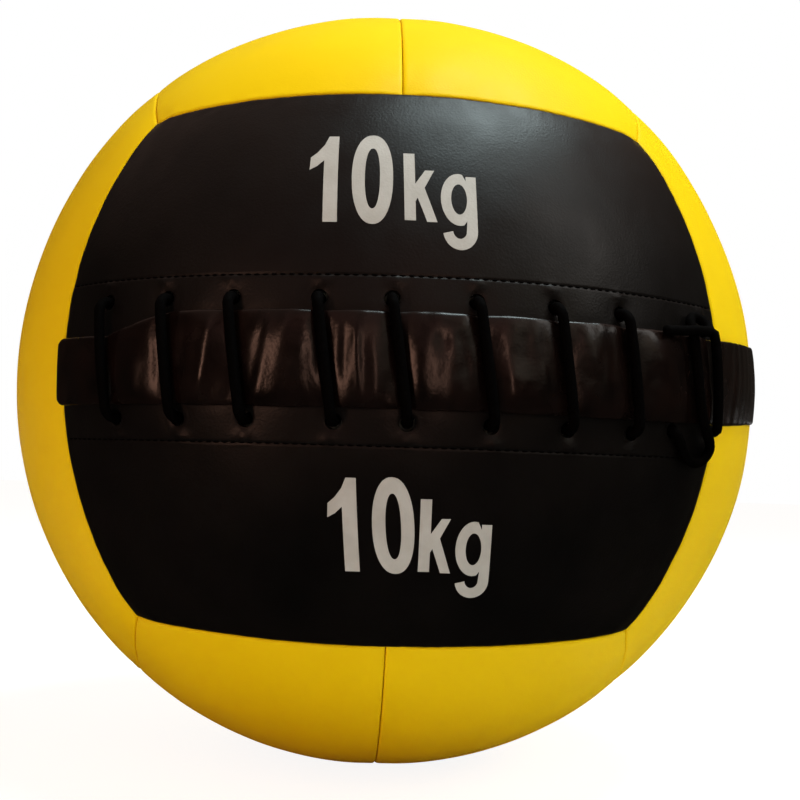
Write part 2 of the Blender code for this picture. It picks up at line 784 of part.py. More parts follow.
def make_weight():
    """The cloth bag of iron sand at the core, with its open neck to the front and a tie round it."""
    neck_end = WEIGHT_RADIUS + NECK_LENGTH
    outer = weight_profile(0, NECK_RADIUS, neck_end)
    inner = weight_profile(-WEIGHT_WALL, NECK_RADIUS, neck_end)
    bag = turned_mesh(outer + inner[::-1], WEIGHT_TURNS)
    add_solid("weight_bag", bag, material("weight_bag", SACKING, 0.95))

    tied = WEIGHT_RADIUS + NECK_LENGTH * TIE_SHARE
    sand = weight_profile(-WEIGHT_WALL - CLEARANCE, NECK_RADIUS, tied)
    sand_mesh = turned_mesh(sand + [(0, tied)], WEIGHT_TURNS)
    add_solid("iron_sand", sand_mesh, material("iron_sand", IRON, 0.7, 0.6))

    ring_radius = NECK_RADIUS + CLEARANCE + TIE_THICKNESS / 2
    add_solid("bag_tie", tie_mesh(ring_radius, tied), material("bag_tie", TIE_NYLON, 0.5))

    room = NECK_RADIUS + CLEARANCE + TIE_THICKNESS + CLEARANCE
    hollow = weight_profile(CLEARANCE, room, neck_end + CLEARANCE)
    return add_cutter("filling_hollow", turned_mesh(hollow + [(0, neck_end + CLEARANCE)], WEIGHT_TURNS))


def tie_mesh(ring_radius, forward):
    """A ring round the neck whose section swells on one side into the tie's head."""
    bm = bmesh.new()
    middle = UP * CENTRE_HEIGHT - BACK * forward
    rings = []
    for k in range(TIE_TURNS):
        angle = 2 * math.pi * k / TIE_TURNS
        out = RIGHT * math.cos(angle) + UP * math.sin(angle)
        length = TIE_HEAD if k in (0, 1) else TIE_THICKNESS
        section = []
        for m in range(TIE_SIDES):
            turn = 2 * math.pi * (m + 0.5) / TIE_SIDES
            across = out * math.cos(turn) * TIE_THICKNESS / 2
            along = BACK * math.sin(turn) * length / 2
            section.append(bm.verts.new(middle + out * ring_radius + across + along))
        rings.append(section)
    for k in range(TIE_TURNS):
        stitch_rings(bm, rings[k], rings[(k + 1) % TIE_TURNS])
    return bm


def make_filling(hollow):
    """Fibre stuffing, as the wad above the weight bag and the wad below it."""
    for name, way in (("filling_upper", 1), ("filling_lower", -1)):
        bm = bmesh.new()
        rings = dome_rings(bm, way, FILLING_LIFT, lambda heading: CLEARANCE / 2)
        bm.faces.new(rings[0])
        wad = add_solid(name, bm, material(name, FIBRE, 1))
        cut(wad, hollow)


def main():
    clear_scene()
    panels = make_panels()
    punches = make_punches()
    cut(panels["panel_front_upper"], punches)
    cut(panels["panel_front_lower"], punches)
    make_bands(punches)
    make_strip()
    make_lace()
    make_liner()
    make_filling(make_weight())


main()
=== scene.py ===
"""Looks of the soft wall ball: vinyl panels, laced cover strip, marks, and what is stuffed inside.

Front is -Y and up is +Z. A place on the cover is given as in the construction: across from the
middle of the laced opening, up from it, and a lift above the cover, all along the surface.
"""

import math
from contextlib import contextmanager

import bpy
import numpy as np
from mathutils import Matrix, Vector
from mathutils.bvhtree import BVHTree


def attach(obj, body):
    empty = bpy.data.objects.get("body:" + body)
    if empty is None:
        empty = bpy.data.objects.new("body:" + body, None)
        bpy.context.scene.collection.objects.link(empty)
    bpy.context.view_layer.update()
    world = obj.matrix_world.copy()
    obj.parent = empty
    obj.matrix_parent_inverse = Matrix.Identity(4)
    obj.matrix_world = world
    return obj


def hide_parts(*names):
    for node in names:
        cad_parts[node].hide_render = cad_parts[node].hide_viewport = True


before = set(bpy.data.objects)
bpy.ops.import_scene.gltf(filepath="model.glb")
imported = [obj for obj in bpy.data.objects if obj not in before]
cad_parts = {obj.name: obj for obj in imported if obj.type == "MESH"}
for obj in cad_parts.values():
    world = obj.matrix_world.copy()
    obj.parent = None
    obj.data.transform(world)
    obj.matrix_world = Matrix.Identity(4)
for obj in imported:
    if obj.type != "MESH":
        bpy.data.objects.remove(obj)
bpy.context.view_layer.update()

MM = 0.001
HALVES = (("upper", 1), ("lower", -1))
FULL_TURN = 2 * math.pi

# Sizes of the construction
BALL_WIDTH = 350 * MM
BALL_HEIGHT = 355 * MM
REST_RADIUS = 24 * MM
SHOULDER_SWELL = 2.2 * MM
SHOULDER_DEGREES = 47
SHOULDER_REACH_DEGREES = 16
CLEARANCE = 0.3 * MM
MERGE_REACH = CLEARANCE / 30
PANEL_WALL = 1.5 * MM
SEAM_DEPTH = 7.5 * MM
HEM_DEPTH = 3 * MM
FRONT_SEAM_DEGREES = 49.2
TOP_SEAM_DEGREES = 53.4
SIDE_SEAM_DEGREES = 51.3
OPENING_GAP = 6 * MM
OPENING_SINK = 1.5 * MM
SINK_REACH = 26 * MM
EYELET_PITCH = 30.6 * MM
EYELET_SHIFT_SHARES = (0, 0, -0.08, 0, -0.13, -0.12, -0.12, -0.16)
FIRST_EYELET = -121 * MM
EYELET_HEIGHT = 22 * MM
EYELET_RADIUS = 3 * MM
EYELET_SIDES = 32
END_EYELET = 139.5 * MM
END_EYELET_HEIGHT = 20 * MM
END_SLANT = 3.5 * MM
TIE_EYELET = 117 * MM
BAND_WALL = 1.2 * MM
BAND_WIDTH = 26 * MM
BAND_END_MARGIN = 7.5 * MM
STRIP_WIDTH = 34.5 * MM
STRIP_WALL = 1.5 * MM
STRIP_LEFT_END = -151 * MM
STRIP_RIGHT_END = 227 * MM
STRIP_LEFT_SCANT = 8 * MM
STRIP_RIGHT_RISE = 4.5 * MM
LACE_DIAMETER = 4 * MM
LACE_SLANT = 6.7 * MM
LACE_SLACK = 0.2 * MM
LACE_INNER_BEND = 2.5 * MM
BEND_STEPS = 3

# The lace's two ends, in millimetres: across and up for its tail, which starts at the first
# eyelet, and across, up and lift for the loop below the strip and the knot above it
LACE_TAIL = ((4, -10), (2.5, -3), (1, 4), (0.2, 11))
LACE_LOOP = (
    (117, -20.1, 0), (117.4, -21, 2), (119.2, -23.6, 2.9), (122.6, -27.4, 2.6), (127.4, -30.6, 2.5),
    (133.4, -31.6, 2.5), (138.8, -29.6, 2.6), (141, -26, 3), (138.6, -22.8, 3.8), (134, -19.2, 4.7),
    (130.4, -14, 4.6), (128.4, -8, 4.4),
)
LACE_KNOT = (
    (126, 4, 4.3), (124.6, 13, 4.3), (124, 17.8, 4.2), (124.4, 21.6, 3), (127, 24.2, 2.5),
    (130.2, 23.2, 4), (131, 20, 6.4), (128.6, 17.8, 8.2), (124.4, 17.4, 9), (120, 17.4, 8),
    (115.6, 17.2, 6.2), (110, 16.9, 5.4), (106.5, 16.6, 5.2),
)

BALL_RADIUS = BALL_WIDTH / 2
HEIGHT_SHARE = BALL_HEIGHT / BALL_WIDTH
REST_DEPTH = BALL_HEIGHT / 2 * (1 - math.sqrt(1 - (REST_RADIUS / BALL_RADIUS) ** 2))
CENTRE = Vector((0, 0, BALL_HEIGHT / 2 - REST_DEPTH))
OPENING_HALF_LENGTH = math.radians(FRONT_SEAM_DEGREES) * BALL_RADIUS
BAND_HALF_LENGTH = END_EYELET + BAND_END_MARGIN
PANEL_FACET_SAG = 0.9 * MM
BAND_LIFT = -PANEL_WALL - PANEL_FACET_SAG - CLEARANCE
STRIP_TOP = CLEARANCE + STRIP_WALL
LACE_RADIUS = LACE_DIAMETER / 2
LACE_LIFT = STRIP_TOP + LACE_RADIUS + CLEARANCE + LACE_SLACK
LACE_EXIT = BAND_LIFT - BAND_WALL
LACE_DEEP = LACE_EXIT - LACE_INNER_BEND
LINER_WALL = 1 * MM
LINER_SLIT = 5 * MM
SLIT_TAPER_SHARE = 0.25
LINER_LIFT = min(-SEAM_DEPTH, LACE_DEEP - LACE_RADIUS) - CLEARANCE
FILLING_LIFT = LINER_LIFT - LINER_WALL - CLEARANCE
WEIGHT_RADIUS = 72 * MM
NECK_RADIUS = 12 * MM
NECK_LENGTH = 34 * MM
NECK_END = WEIGHT_RADIUS + NECK_LENGTH
TIE_THICKNESS = 3 * MM
TIE_PLACE = WEIGHT_RADIUS + NECK_LENGTH * 0.45

# Shape of the cover's edges and surface
MESH_STEP = 1.7 * MM
LACED_STEP = 0.8 * MM
LACED_REACH = 34 * MM
LINE_STEP = 0.3 * MM
LINE_REACH = 2.4 * MM
EDGE_PLACES = np.array([0, 0.15, 0.35, 0.65, 1, 1.5, 2.2, 3.2, 4.6]) * MM
ROLL_WIDTH = 1.5 * MM
ROLL_DEPTH = 0.8 * MM
ROLL_SHARE = 0.999
CORNER_REACH = 7 * MM
CORNER_DEPTH = 0.9 * MM
SEAM_PULL = 0.3 * MM
SEAM_PULL_REACH = 11 * MM
TUCK_PITCH = 7 * MM
TUCK_DEPTH = 0.1 * MM
TUCK_REACH = 5 * MM
SWELL = 0.3 * MM
SWELL_LENGTH = 85 * MM
DIMPLE = 0.06 * MM
DIMPLE_LENGTH = 24 * MM
DENT_LENGTH = 5 * MM
TONE_CHANGE = (0.3, 0.7)
TONE_WIDTH = 0.4
GLOSS_LENGTH = 14 * MM
GLOSS_CHANGE = (-0.05, 0.06)

# Sewn line of each eyelet band, and the pull of the lace at the eyelets
BAND_LINE = 30.3 * MM
LINE_DEPTH = 0.28 * MM
LINE_WIDTH = 0.45 * MM
EYELET_DIP = 0.7 * MM
EYELET_DIP_REACH = 4.5 * MM
EYELET_RIM = 0.15 * MM
EYELET_RIM_RADIUS = 4 * MM
EYELET_RIM_WIDTH = 0.9 * MM
PULL_FOLD = 0.7 * MM
PULL_FOLD_WIDTH = 3 * MM
PULL_FOLD_LEAN = 0.25
LEAN_CHANGE = 5
BAND_PUFF = 0.4 * MM
BAND_PUFF_WIDTH = EYELET_PITCH / 3.2
BAND_PUFF_REACH = 10 * MM
LACED_STOPS = (BAND_LINE - LINE_REACH, BAND_LINE + LINE_REACH, LACED_REACH)
PUNCH_REACH = 6 * MM
LAY_REACH = 12 * MM
GAP_FADE = 20 * MM

# Stitches and printed marks
STITCH_PITCH = 3.4 * MM
STITCH_LENGTH = 2.7 * MM
STITCH_RISE_SHARE = 0.6
THREAD_RADIUS = 0.28 * MM
MARK_STEP = 2.5 * MM
UPPER_LEAN_SHARE = 0.085
LOWER_LEAN_SHARE = 0.03
INK_WALL = 0.08 * MM
INK_SUNK_SHARE = 0.6

# Braid of the lace
LACE_STEP = 0.7 * MM
LACE_SIDES = 20
LACE_STRANDS = 5
LACE_LAY = 11 * MM
LACE_RELIEF = 0.07 * MM

# Puffs of the strip between passes of the lace
PUFF = 3 * MM
PUFF_SHARES = (0.65, 1, 1.05, 1, 1.1, 0.95, 0.85, 0.9, 0.8)
CREST_LEANS = (0.08, 0.2, 0.22, 0.1, 0.16, 0.12, 0.1, 0.06, 0)
PUFF_FLAT = 0.9 * MM
PUFF_FULLNESS = 2.3
PUFF_CROWN_SHARE = 0.55
FOLD_FADE_SHARE = 0.45
CRUMPLE = 0.05 * MM
CRUMPLE_LENGTH = 9 * MM
STREAK = 0.16 * MM
STREAK_LENGTH = 6.5 * MM
STREAK_LEAN = -0.2
STREAK_STRETCH = 8
STRIP_STEP = 0.75 * MM
STRIP_EDGE_PLACES = np.array([0, 0.35, 0.8, 1.4, 2.2]) * MM
STRIP_CORNER = 4 * MM
STRIP_NIP = 0.3 * MM
STRIP_NIP_REACH = 4 * MM
STRIP_WANDER = 0.15 * MM
STRIP_WANDER_LENGTH = 19 * MM
STRIP_EDGE_DROP = 0.8 * MM
STRIP_EDGE_REACH = 1.3 * MM
STRIP_SKIN = 1.2 * MM
STRIP_SETTLE = 0.7 * MM
SETTLE_MIDDLE_SHARE = 0.3

# Folds in the puffs: the bay, the shares of the bay where the fold stands at the top and the bottom
# edge, how far up it starts and ends from -1 to 1, and its width and height in millimetres
FOLDS = (
    (0, 0.55, 0.45, -1, 0.4, 4, 0.7),
    (0, 0.88, 0.85, -0.9, 1, 1.7, -0.5),
    (1, 0.8, 0.42, -0.9, 1, 3.2, 0.9),
    (1, 0.42, 0.1, -0.7, 1, 2.4, -0.5),
    (2, 0.42, 0.1, -1, 0.9, 2, -0.5),
    (2, 0.95, 0.72, -0.6, 0.4, 2.6, 0.5),
    (2, 0.86, 0.78, -0.9, 0.5, 1.8, -0.5),
    (3, 0.32, 0.2, -0.8, 1, 1.8, -0.5),
    (3, 0.48, 0.4, -0.9, 0.9, 1.4, 0.5),
    (3, 0.72, 0.62, -1, 0.6, 2.4, 0.4),
    (4, 0.7, 0.78, -0.9, 0.9, 2.2, -0.6),
    (4, 0.3, 0.12, -0.9, 0.6, 3, 0.6),
    (4, 0.5, 0.5, 0, 0.9, 3.6, -0.7),
    (5, 0.3, 0.24, -1, 0.2, 3.4, 0.8),
    (5, 0.5, 0.45, -0.3, 1, 3.6, -0.7),
    (5, 0.7, 0.8, -0.6, 0.9, 2, -0.5),
    (6, 0.34, 0.3, -0.2, 1, 3.2, 0.8),
    (6, 0.24, 0.14, -0.9, 0.2, 2.6, 0.5),
    (6, 0.72, 0.6, -0.9, 0.8, 2.2, -0.6),
    (7, 0.4, 0.42, -0.1, 1, 4, 0.8),
    (7, 0.2, 0.16, -0.9, 0.3, 2.6, -0.5),
    (7, 0.74, 0.7, -0.8, 0.7, 2, -0.6),
)

# Webbing, liner, stuffing and weight
BAND_STEP = 1.3 * MM
BAND_RIB = 0.12 * MM
WRINKLE = 0.25 * MM
WRINKLE_LENGTH = 26 * MM
LUMP = 1.3 * MM
LUMP_LENGTH = 30 * MM
TUFT = 0.5 * MM
TUFT_LENGTH = 7 * MM
STUFFING_TURNS = 120
STUFFING_ROWS = 72
WEIGHT_CLOTH = 0.8 * MM
WEIGHT_TURNS = 96
WEIGHT_ROWS = 44
NECK_ROWS = 16
PLEATS = 14
PLEAT_DEPTH = 1.5 * MM
PLEAT_START = 46 * MM
PLEAT_REACH = 22 * MM
SAND_ROOM = 1.6 * MM
TIE_SIDES = 16
TIE_FLAT_SHARE = 0.6
TIE_HEAD = (3.2 * MM, 6 * MM, 5.4 * MM)
TIE_HEAD_EDGE = 0.6 * MM

# Room, floor and the photograph's view. A change has the parts of a direction, or of the noise,
# where it starts and ends
ROOM_TINT = (1, 0.84, 0.68)
ROOM_LIGHT = 0.3
ROOM_SHINE = 0.03
CEILING_TINT = (1, 0.66, 0.54)
CEILING_SHINE = 0.5
ROOM_WALLS = (((1, 0.5, 0.42), 0.9), ((1, 0.88, 0.7), 1.7))
WALL_CHANGE = (0.15, 0.6)
LEFT_CHANGE = (-0.9, -0.4)
FRONT_CHANGE = (-0.62, -0.28)
BOTTOM_CHANGE = (0.05, 0.35)
CEILING_CHANGE = (0.4, 0.85)
WHITE_CHANGE = (0.9, 0.97)
FURNITURE_CHANGE = (0.38, 0.58)
FURNITURE_SCALE = 3
FURNITURE_SHARE = 0.05
WHITE = (1, 1, 1)
FLOOR_SIZE = 12
FLOOR_PALENESS = 0.35
FLOOR_GLOW = 0.89
FLOOR_BOUNCE = 0.8
FLOOR_CHANGE = (2, 5)
VIEW_DEGREES = (1.5, -3.62, 1.81)
VIEW_DISTANCE = 3.4 * BALL_RADIUS
SENSOR_WIDTH = 36
PICTURE_PIXELS = 800
FOCAL_PIXELS = 1194.2
MIDDLE_PIXEL = (384, 391)

RIGHT = Vector((1, 0, 0))
BACK = Vector((0, 1, 0))
UP = Vector((0, 0, 1))


# Places on the cover


def headings_to(across, up):
    """Unit directions from the ball's centre, as rows, from lengths along the cover."""
    longitude, latitude = np.asarray(across) / BALL_RADIUS, np.asarray(up) / BALL_RADIUS
    flat = np.cos(latitude)
    return np.stack([flat * np.sin(longitude), -flat * np.cos(longitude), np.sin(latitude)], -1)


def places_of(headings):
    """The lengths across and up of directions."""
    across = np.arctan2(headings[..., 0], -headings[..., 1]) * BALL_RADIUS
    up = np.arcsin(np.clip(headings[..., 2], -1, 1)) * BALL_RADIUS
    return across, up


def reach_of(degrees):
    return math.radians(degrees) * BALL_RADIUS


def bump_at(distance, width):
    """1 at no distance, falling smoothly to nothing in about twice the width."""
    return np.exp(-((distance / width) ** 2))


def share_of(value):
    """The value, held within 0 and 1."""
    return np.clip(value, 0, 1)


def unit(rows):
    """Each row at a length of 1."""
    return rows / np.linalg.norm(rows, axis=-1)[..., None]


def opening_sink(headings):
    """How far the lacing draws the cover in: most at the middle of the opening."""
    across, up = places_of(headings)
    fade = share_of(1 - (across / OPENING_HALF_LENGTH) ** 2) ** 2
    return np.where(headings[..., 1] < 0, OPENING_SINK * fade * bump_at(up, SINK_REACH), 0)


def shoulder_swell(headings):
    """How far the stuffing fills the ball out halfway up to its top, all the way round."""
    latitude = np.degrees(np.arcsin(np.clip(headings[..., 2], -1, 1)))
    return SHOULDER_SWELL * bump_at(latitude - SHOULDER_DEGREES, SHOULDER_REACH_DEGREES)


def on_ball(headings, lifts):
    """Points at these lifts above the cover."""
    reach = BALL_RADIUS + lifts + shoulder_swell(headings) - opening_sink(headings)
    points = headings * np.asarray(reach)[..., None]
    points[..., 2] = points[..., 2] * HEIGHT_SHARE + CENTRE.z
    return points


def spots(across, up, lifts):
    across, up, lifts = np.broadcast_arrays(across, up, lifts)
    return on_ball(headings_to(across, up), lifts)


def flat_points(across, up):
    """Points of a flat sheet, from their places across and up it."""
    return np.stack(np.broadcast_arrays(across, up, 0.0), -1)


def waves(points, length, seed, count=24):
    """Smooth uneven waves of about this length over the points, mostly within -1 and 1."""
    draw = np.random.default_rng(seed)
    total = np.zeros(points.shape[:-1])
    for _ in range(count):
        way = draw.normal(size=3)
        way *= FULL_TURN / (length * draw.uniform(0.7, 1.5) * np.linalg.norm(way))
        total += np.sin(points @ way + draw.uniform(0, FULL_TURN))
    return total / math.sqrt(2 * count)


def hollows(points, depth, length, seed):
    """Waves that only go down, from nothing to this depth."""
    return depth / 2 * (1 + np.clip(waves(points, length, seed), -1, 1))


def rounded(share):
    """A quarter circle's drop: 1 at the edge, 0 from a share of 1 on."""
    return 1 - np.sqrt(share_of(1 - (1 - share_of(share)) ** 2))


def stepped(start, end, step):
    """Places from one to the other about this far apart, without the last."""
    count = max(1, round((end - start) / step))
    return start + (end - start) * np.arange(count) / count


def edge_spaced(length, edge, steps, stops=()):
    """Places along a length: as given at both ends, and this far apart from stop to stop between."""
    bounds = [edge[-1], *stops, length - edge[-1]]
    inner = [stepped(*run) for run in zip(bounds, bounds[1:], steps)]
    return np.concatenate([edge[:-1], *inner, length - edge[::-1]])


# Shared steps of modelling


def only(piece):
    bpy.ops.object.select_all(action="DESELECT")
    piece.select_set(True)
    bpy.context.view_layer.objects.active = piece


@contextmanager
def editing(piece):
    """Edit mode on one piece, with all of it selected."""
    only(piece)
    bpy.ops.object.mode_set(mode="EDIT")
    bpy.ops.mesh.select_all(action="SELECT")
    yield
    bpy.ops.object.mode_set(mode="OBJECT")


def points_of(piece):
    found = np.empty(len(piece.data.vertices) * 3)
    piece.data.vertices.foreach_get("co", found)
    return found.reshape(-1, 3)


def put_points(piece, points):
    piece.data.vertices.foreach_set("co", np.asarray(points, float).ravel())
    piece.data.update()


def primitive(name, add, **settings):
    """What this operator adds, under its own name, with its place in its mesh."""
    bpy.ops.object.select_all(action="DESELECT")
    add(**settings)
    piece = bpy.context.object
    bpy.ops.object.transform_apply(location=True, rotation=True, scale=True)
    piece.name = piece.data.name = name
    return piece


def grid_piece(name, columns, rows):
    """A flat grid as a start, and the column and row of each of its points."""
    grid = bpy.ops.mesh.primitive_grid_add
    piece = primitive(name, grid, x_subdivisions=columns, y_subdivisions=rows, size=2)
    flat = points_of(piece)
    i, j = (np.rint((flat[:, k] + 1) / 2 * count).astype(int) for k, count in enumerate((columns, rows)))
    return piece, i, j


def placed(name, data):
    made = bpy.data.objects.new(name, data)
    bpy.context.scene.collection.objects.link(made)
    return made


def mesh_piece(name, points, faces):
    mesh = bpy.data.meshes.new(name)
    mesh.from_pydata([tuple(point) for point in points], [], faces)
    return placed(name, mesh)


def face_outwards(piece):
    """Turns an open sheet on the ball so that its faces look away from the ball's centre."""
    facing = piece.data.polygons[len(piece.data.polygons) // 3]
    if facing.normal.dot(facing.center - CENTRE) < 0:
        piece.data.flip_normals()


def recalculate(piece):
    with editing(piece):
        bpy.ops.mesh.normals_make_consistent(inside=False)


def modified(piece, kind, **settings):
    """Adds a modifier with these settings and applies it."""
    modifier = piece.modifiers.new(kind, kind)
    for name, value in settings.items():
        setattr(modifier, name, value)
    only(piece)
    bpy.ops.object.modifier_apply(modifier=modifier.name)


def thicken(piece, wall):
    modified(piece, "SOLIDIFY", thickness=wall, offset=-1)


def combine(piece, operation, other):
    modified(piece, "BOOLEAN", operation=operation, solver="EXACT", object=other)


def finished(piece, finish, stands_for=(), smooth_degrees=40):
    """Smooth shading, the finish, the ball's one body to ride on, and the parts it stands for hidden."""
    only(piece)
    bpy.ops.object.shade_smooth_by_angle(angle=math.radians(smooth_degrees))
    piece.data.materials.clear()
    piece.data.materials.append(finish)
    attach(piece, "root")
    if stands_for:
        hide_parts(*stands_for)


# Steps of the node trees


def node(owner, kind, **settings):
    made = owner.node_tree.nodes.new("ShaderNode" + kind)
    for name, value in settings.items():
        if name in made.inputs:
            made.inputs[name].default_value = value
        else:
            setattr(made, name, value)
    return made


def join(owner, *links):
    for start, end in links:
        owner.node_tree.links.new(start, end)


def places_in(owner, system="Object"):
    return node(owner, "TexCoord").outputs[system]


def noise_of(material, length, detail=3.0, roughness=0.5):
    """Noise whose features are about this long, from 0 to 1."""
    noise = node(material, "TexNoise", Scale=1 / length, Detail=detail, Roughness=roughness)
    join(material, (places_in(material), noise.inputs["Vector"]))
    return noise.outputs["Fac"]


def checks_of(material, pitch):
    checks = node(material, "TexChecker", Scale=1 / pitch)
    join(material, (places_in(material), checks.inputs["Vector"]))
    return checks.outputs["Fac"]


def grain_of(material, length):
    """Pebbled grain: uneven round cells with creases between them."""
    places = places_in(material)
    drift = node(material, "TexNoise", Scale=0.4 / length, Detail=1.0)
    shift = node(material, "VectorMath", operation="SCALE", Scale=length)
    bent = node(material, "VectorMath", operation="ADD")
    cells = node(material, "TexVoronoi", feature="SMOOTH_F1", Scale=1 / length, Smoothness=0.6)
    join(
        material,
        (places, drift.inputs["Vector"]),
        (drift.outputs["Color"], shift.inputs[0]),
        (places, bent.inputs[0]),
        (shift.outputs["Vector"], bent.inputs[1]),
        (bent.outputs["Vector"], cells.inputs["Vector"]),
    )
    return cells.outputs["Distance"]


def ranged(owner, value, start, end, low=0, high=1):
    """Goes from low to high while the value goes from start to end."""
    limits = {"From Min": start, "From Max": end, "To Min": low, "To Max": high}
    made = node(owner, "MapRange", **limits)
    join(owner, (value, made.inputs["Value"]))
    return made.outputs["Result"]


def worked_out(owner, operation, result, *others):
    """One number from several, two at a time."""
    for other in others:
        made = node(owner, "Math", operation=operation)
        join(owner, (result, made.inputs[0]), (other, made.inputs[1]))
        result = made.outputs["Value"]
    return result


def blended(material, value, colours):
    """A colour ramp through these colours."""
    made = node(material, "ValToRGB")
    ramp = made.color_ramp
    while len(ramp.elements) < len(colours):
        ramp.elements.new(1)
    for k, (stop, colour) in enumerate(zip(ramp.elements, colours)):
        stop.position = TONE_CHANGE[0] + TONE_WIDTH * k / (len(colours) - 1)
        stop.color = (*colour, 1)
    join(material, (value, made.inputs["Fac"]))
    return made.outputs["Color"]


# Finishes


def finish_of(name, roughness, specular, colours, tone, bumps, metallic=0.0):
    """Uneven tone through these colours, then bumps: each a pattern, its sizes and how high it stands."""
    made = bpy.data.materials.new(name)
    made.use_nodes = True
    shader = made.node_tree.nodes["Principled BSDF"]
    shader.inputs["Roughness"].default_value = roughness
    shader.inputs["Specular IOR Level"].default_value = specular
    shader.inputs["Metallic"].default_value = metallic
    join(made, (blended(made, noise_of(made, *tone), colours), shader.inputs["Base Color"]))
    under = None
    for pattern, sizes, height in bumps:
        bump = node(made, "Bump", Strength=1.0, Distance=height)
        join(made, (pattern(made, *sizes), bump.inputs["Height"]))
        if under:
            join(made, (under, bump.inputs["Normal"]))
        under = bump.outputs["Normal"]
    join(made, (under, shader.inputs["Normal"]))
    return made


def vinyl(name, colours, tone_length, roughness, specular, grain, grain_height, dents):
    """Coated cloth: uneven tone, uneven gloss, a fine grain and shallow dents."""
    bumps = ((grain_of, (grain,), grain_height), (noise_of, (DENT_LENGTH,), dents))
    made = finish_of(name, roughness, specular, colours, (tone_length,), bumps)
    limits = (roughness + change for change in GLOSS_CHANGE)
    gloss = ranged(made, noise_of(made, GLOSS_LENGTH, 4.0), *TONE_CHANGE, *limits)
    join(made, (gloss, made.node_tree.nodes["Principled BSDF"].inputs["Roughness"]))
    return made


def thread_like(name, colours, roughness, fuzz):
    """Yarn, cord or strap: tone and fuzz at the scale of its strands."""
    bumps = ((noise_of, (fuzz / 3, 2.0), fuzz / 12),)
    return finish_of(name, roughness, 0.02, colours, (fuzz, 4.0), bumps)


def woven(name, colours, pitch):
    """Plain weave: threads that pass over and under each other, with uneven tone."""
    bumps = ((checks_of, (pitch,), pitch / 9), (noise_of, (pitch * 2,), pitch / 5))
    return finish_of(name, 0.9, 0.1, colours, (6 * MM, 5.0), bumps)


def fibrous(name, colours):
    """Packed offcuts of fibre: tangled strands of several dull colours."""
    bumps = ((noise_of, (1.1 * MM, 4.0), 0.5 * MM), (noise_of, (6 * MM,), 0.8 * MM))
    return finish_of(name, 0.95, 0.05, colours, (4 * MM, 8.0, 0.75), bumps)


def grains(name, colours, length):
    """Loose dark grains, each with its own tone."""
    bumps = ((grain_of, (length,), length / 3),)
    return finish_of(name, 0.6, 0.3, colours, (length, 2.0), bumps, metallic=0.6)


def make_finishes():
    black = ((0.0022, 0.0018, 0.0017), (0.0052, 0.0038, 0.0033))
    yellow = ((0.9, 0.585, 0.0015), (0.95, 0.63, 0.003))
    strip = ((0.002, 0.0008, 0.0006), (0.007, 0.003, 0.0022))
    ink = ((0.44, 0.42, 0.39), (0.51, 0.49, 0.46))
    lace = ((0.0003, 0.0002, 0.0002), (0.0014, 0.001, 0.001))
    thread = ((0.0003, 0.0002, 0.0002), (0.0012, 0.001, 0.001))
    webbing = ((0.006, 0.006, 0.006), (0.02, 0.02, 0.02))
    canvas = ((0.56, 0.54, 0.48), (0.74, 0.72, 0.65))
    fibre = ((0.03, 0.035, 0.05), (0.2, 0.19, 0.19), (0.36, 0.33, 0.31), (0.16, 0.09, 0.08))
    cloth = ((0.3, 0.27, 0.2), (0.46, 0.41, 0.32))
    sand = ((0.012, 0.011, 0.011), (0.08, 0.075, 0.075))
    nylon = ((0.55, 0.55, 0.52), (0.68, 0.68, 0.64))
    return {
        "black": vinyl("black_vinyl", black, 40 * MM, 0.38, 0.13, 0.9 * MM, 0.04 * MM, 0.05 * MM),
        "yellow": vinyl("yellow_vinyl", yellow, 55 * MM, 0.45, 0.05, 0.9 * MM, 0.04 * MM, 0.05 * MM),
        "strip": vinyl("strip_vinyl", strip, 12 * MM, 0.24, 0.2, 1.2 * MM, 0.03 * MM, 0.03 * MM),
        "ink": vinyl("print_ink", ink, 9 * MM, 0.5, 0.15, 0.9 * MM, 0.03 * MM, 0.02 * MM),
        "lace": thread_like("lace_cord", lace, 0.8, 1 * MM),
        "thread": thread_like("thread", thread, 0.8, 0.8 * MM),
        "nylon": thread_like("tie_nylon", nylon, 0.4, 4 * MM),
        "webbing": woven("band_webbing", webbing, 1.2 * MM),
        "canvas": woven("liner_canvas", canvas, 0.8 * MM),
        "cloth": woven("weight_cloth", cloth, 0.7 * MM),
        "fibre": fibrous("fibre_filling", fibre),
        "sand": grains("iron_sand", sand, 0.8 * MM),
    }


# Seams and edges of the cover panels


def seam_arc(start, middle, end, shares):
    """Headings at these shares of the way along the flat cut through three headings."""
    start, middle, end = (np.array(heading, float) for heading in (start, middle, end))
    axis = np.cross(middle - start, end - start)
    axis /= np.linalg.norm(axis)
    centre = axis * (axis @ start)
    first = start - centre
    across = np.cross(axis, first)
    whole = math.atan2((end - centre) @ across, (end - centre) @ first) % FULL_TURN
    turns = (whole * np.asarray(shares))[:, None]
    return centre + first * np.cos(turns) + across * np.sin(turns)


def seam_end(face, towards, degrees):
    angle = math.radians(degrees)
    return face * math.cos(angle) + towards * math.sin(angle)


def panel_seams(face, along, side, degrees, side_degrees):
    """The three headings that set each of a panel's four seams, and the share where each starts."""
    corners = [(face + side + turn).normalized() for turn in (-along, along)]
    ends = [seam_end(face, turn, degrees) for turn in (-along, along)]
    seams = {
        "ridge": (ends[0], face, ends[1], 0),
        "long": (corners[0], seam_end(side, face, side_degrees), corners[1], 0),
    }
    for name, turn, end, corner in zip(("near", "far"), (-along, along), ends, corners):
        seams[name] = ((face - side + turn).normalized(), end, corner, 0.5)
    return seams


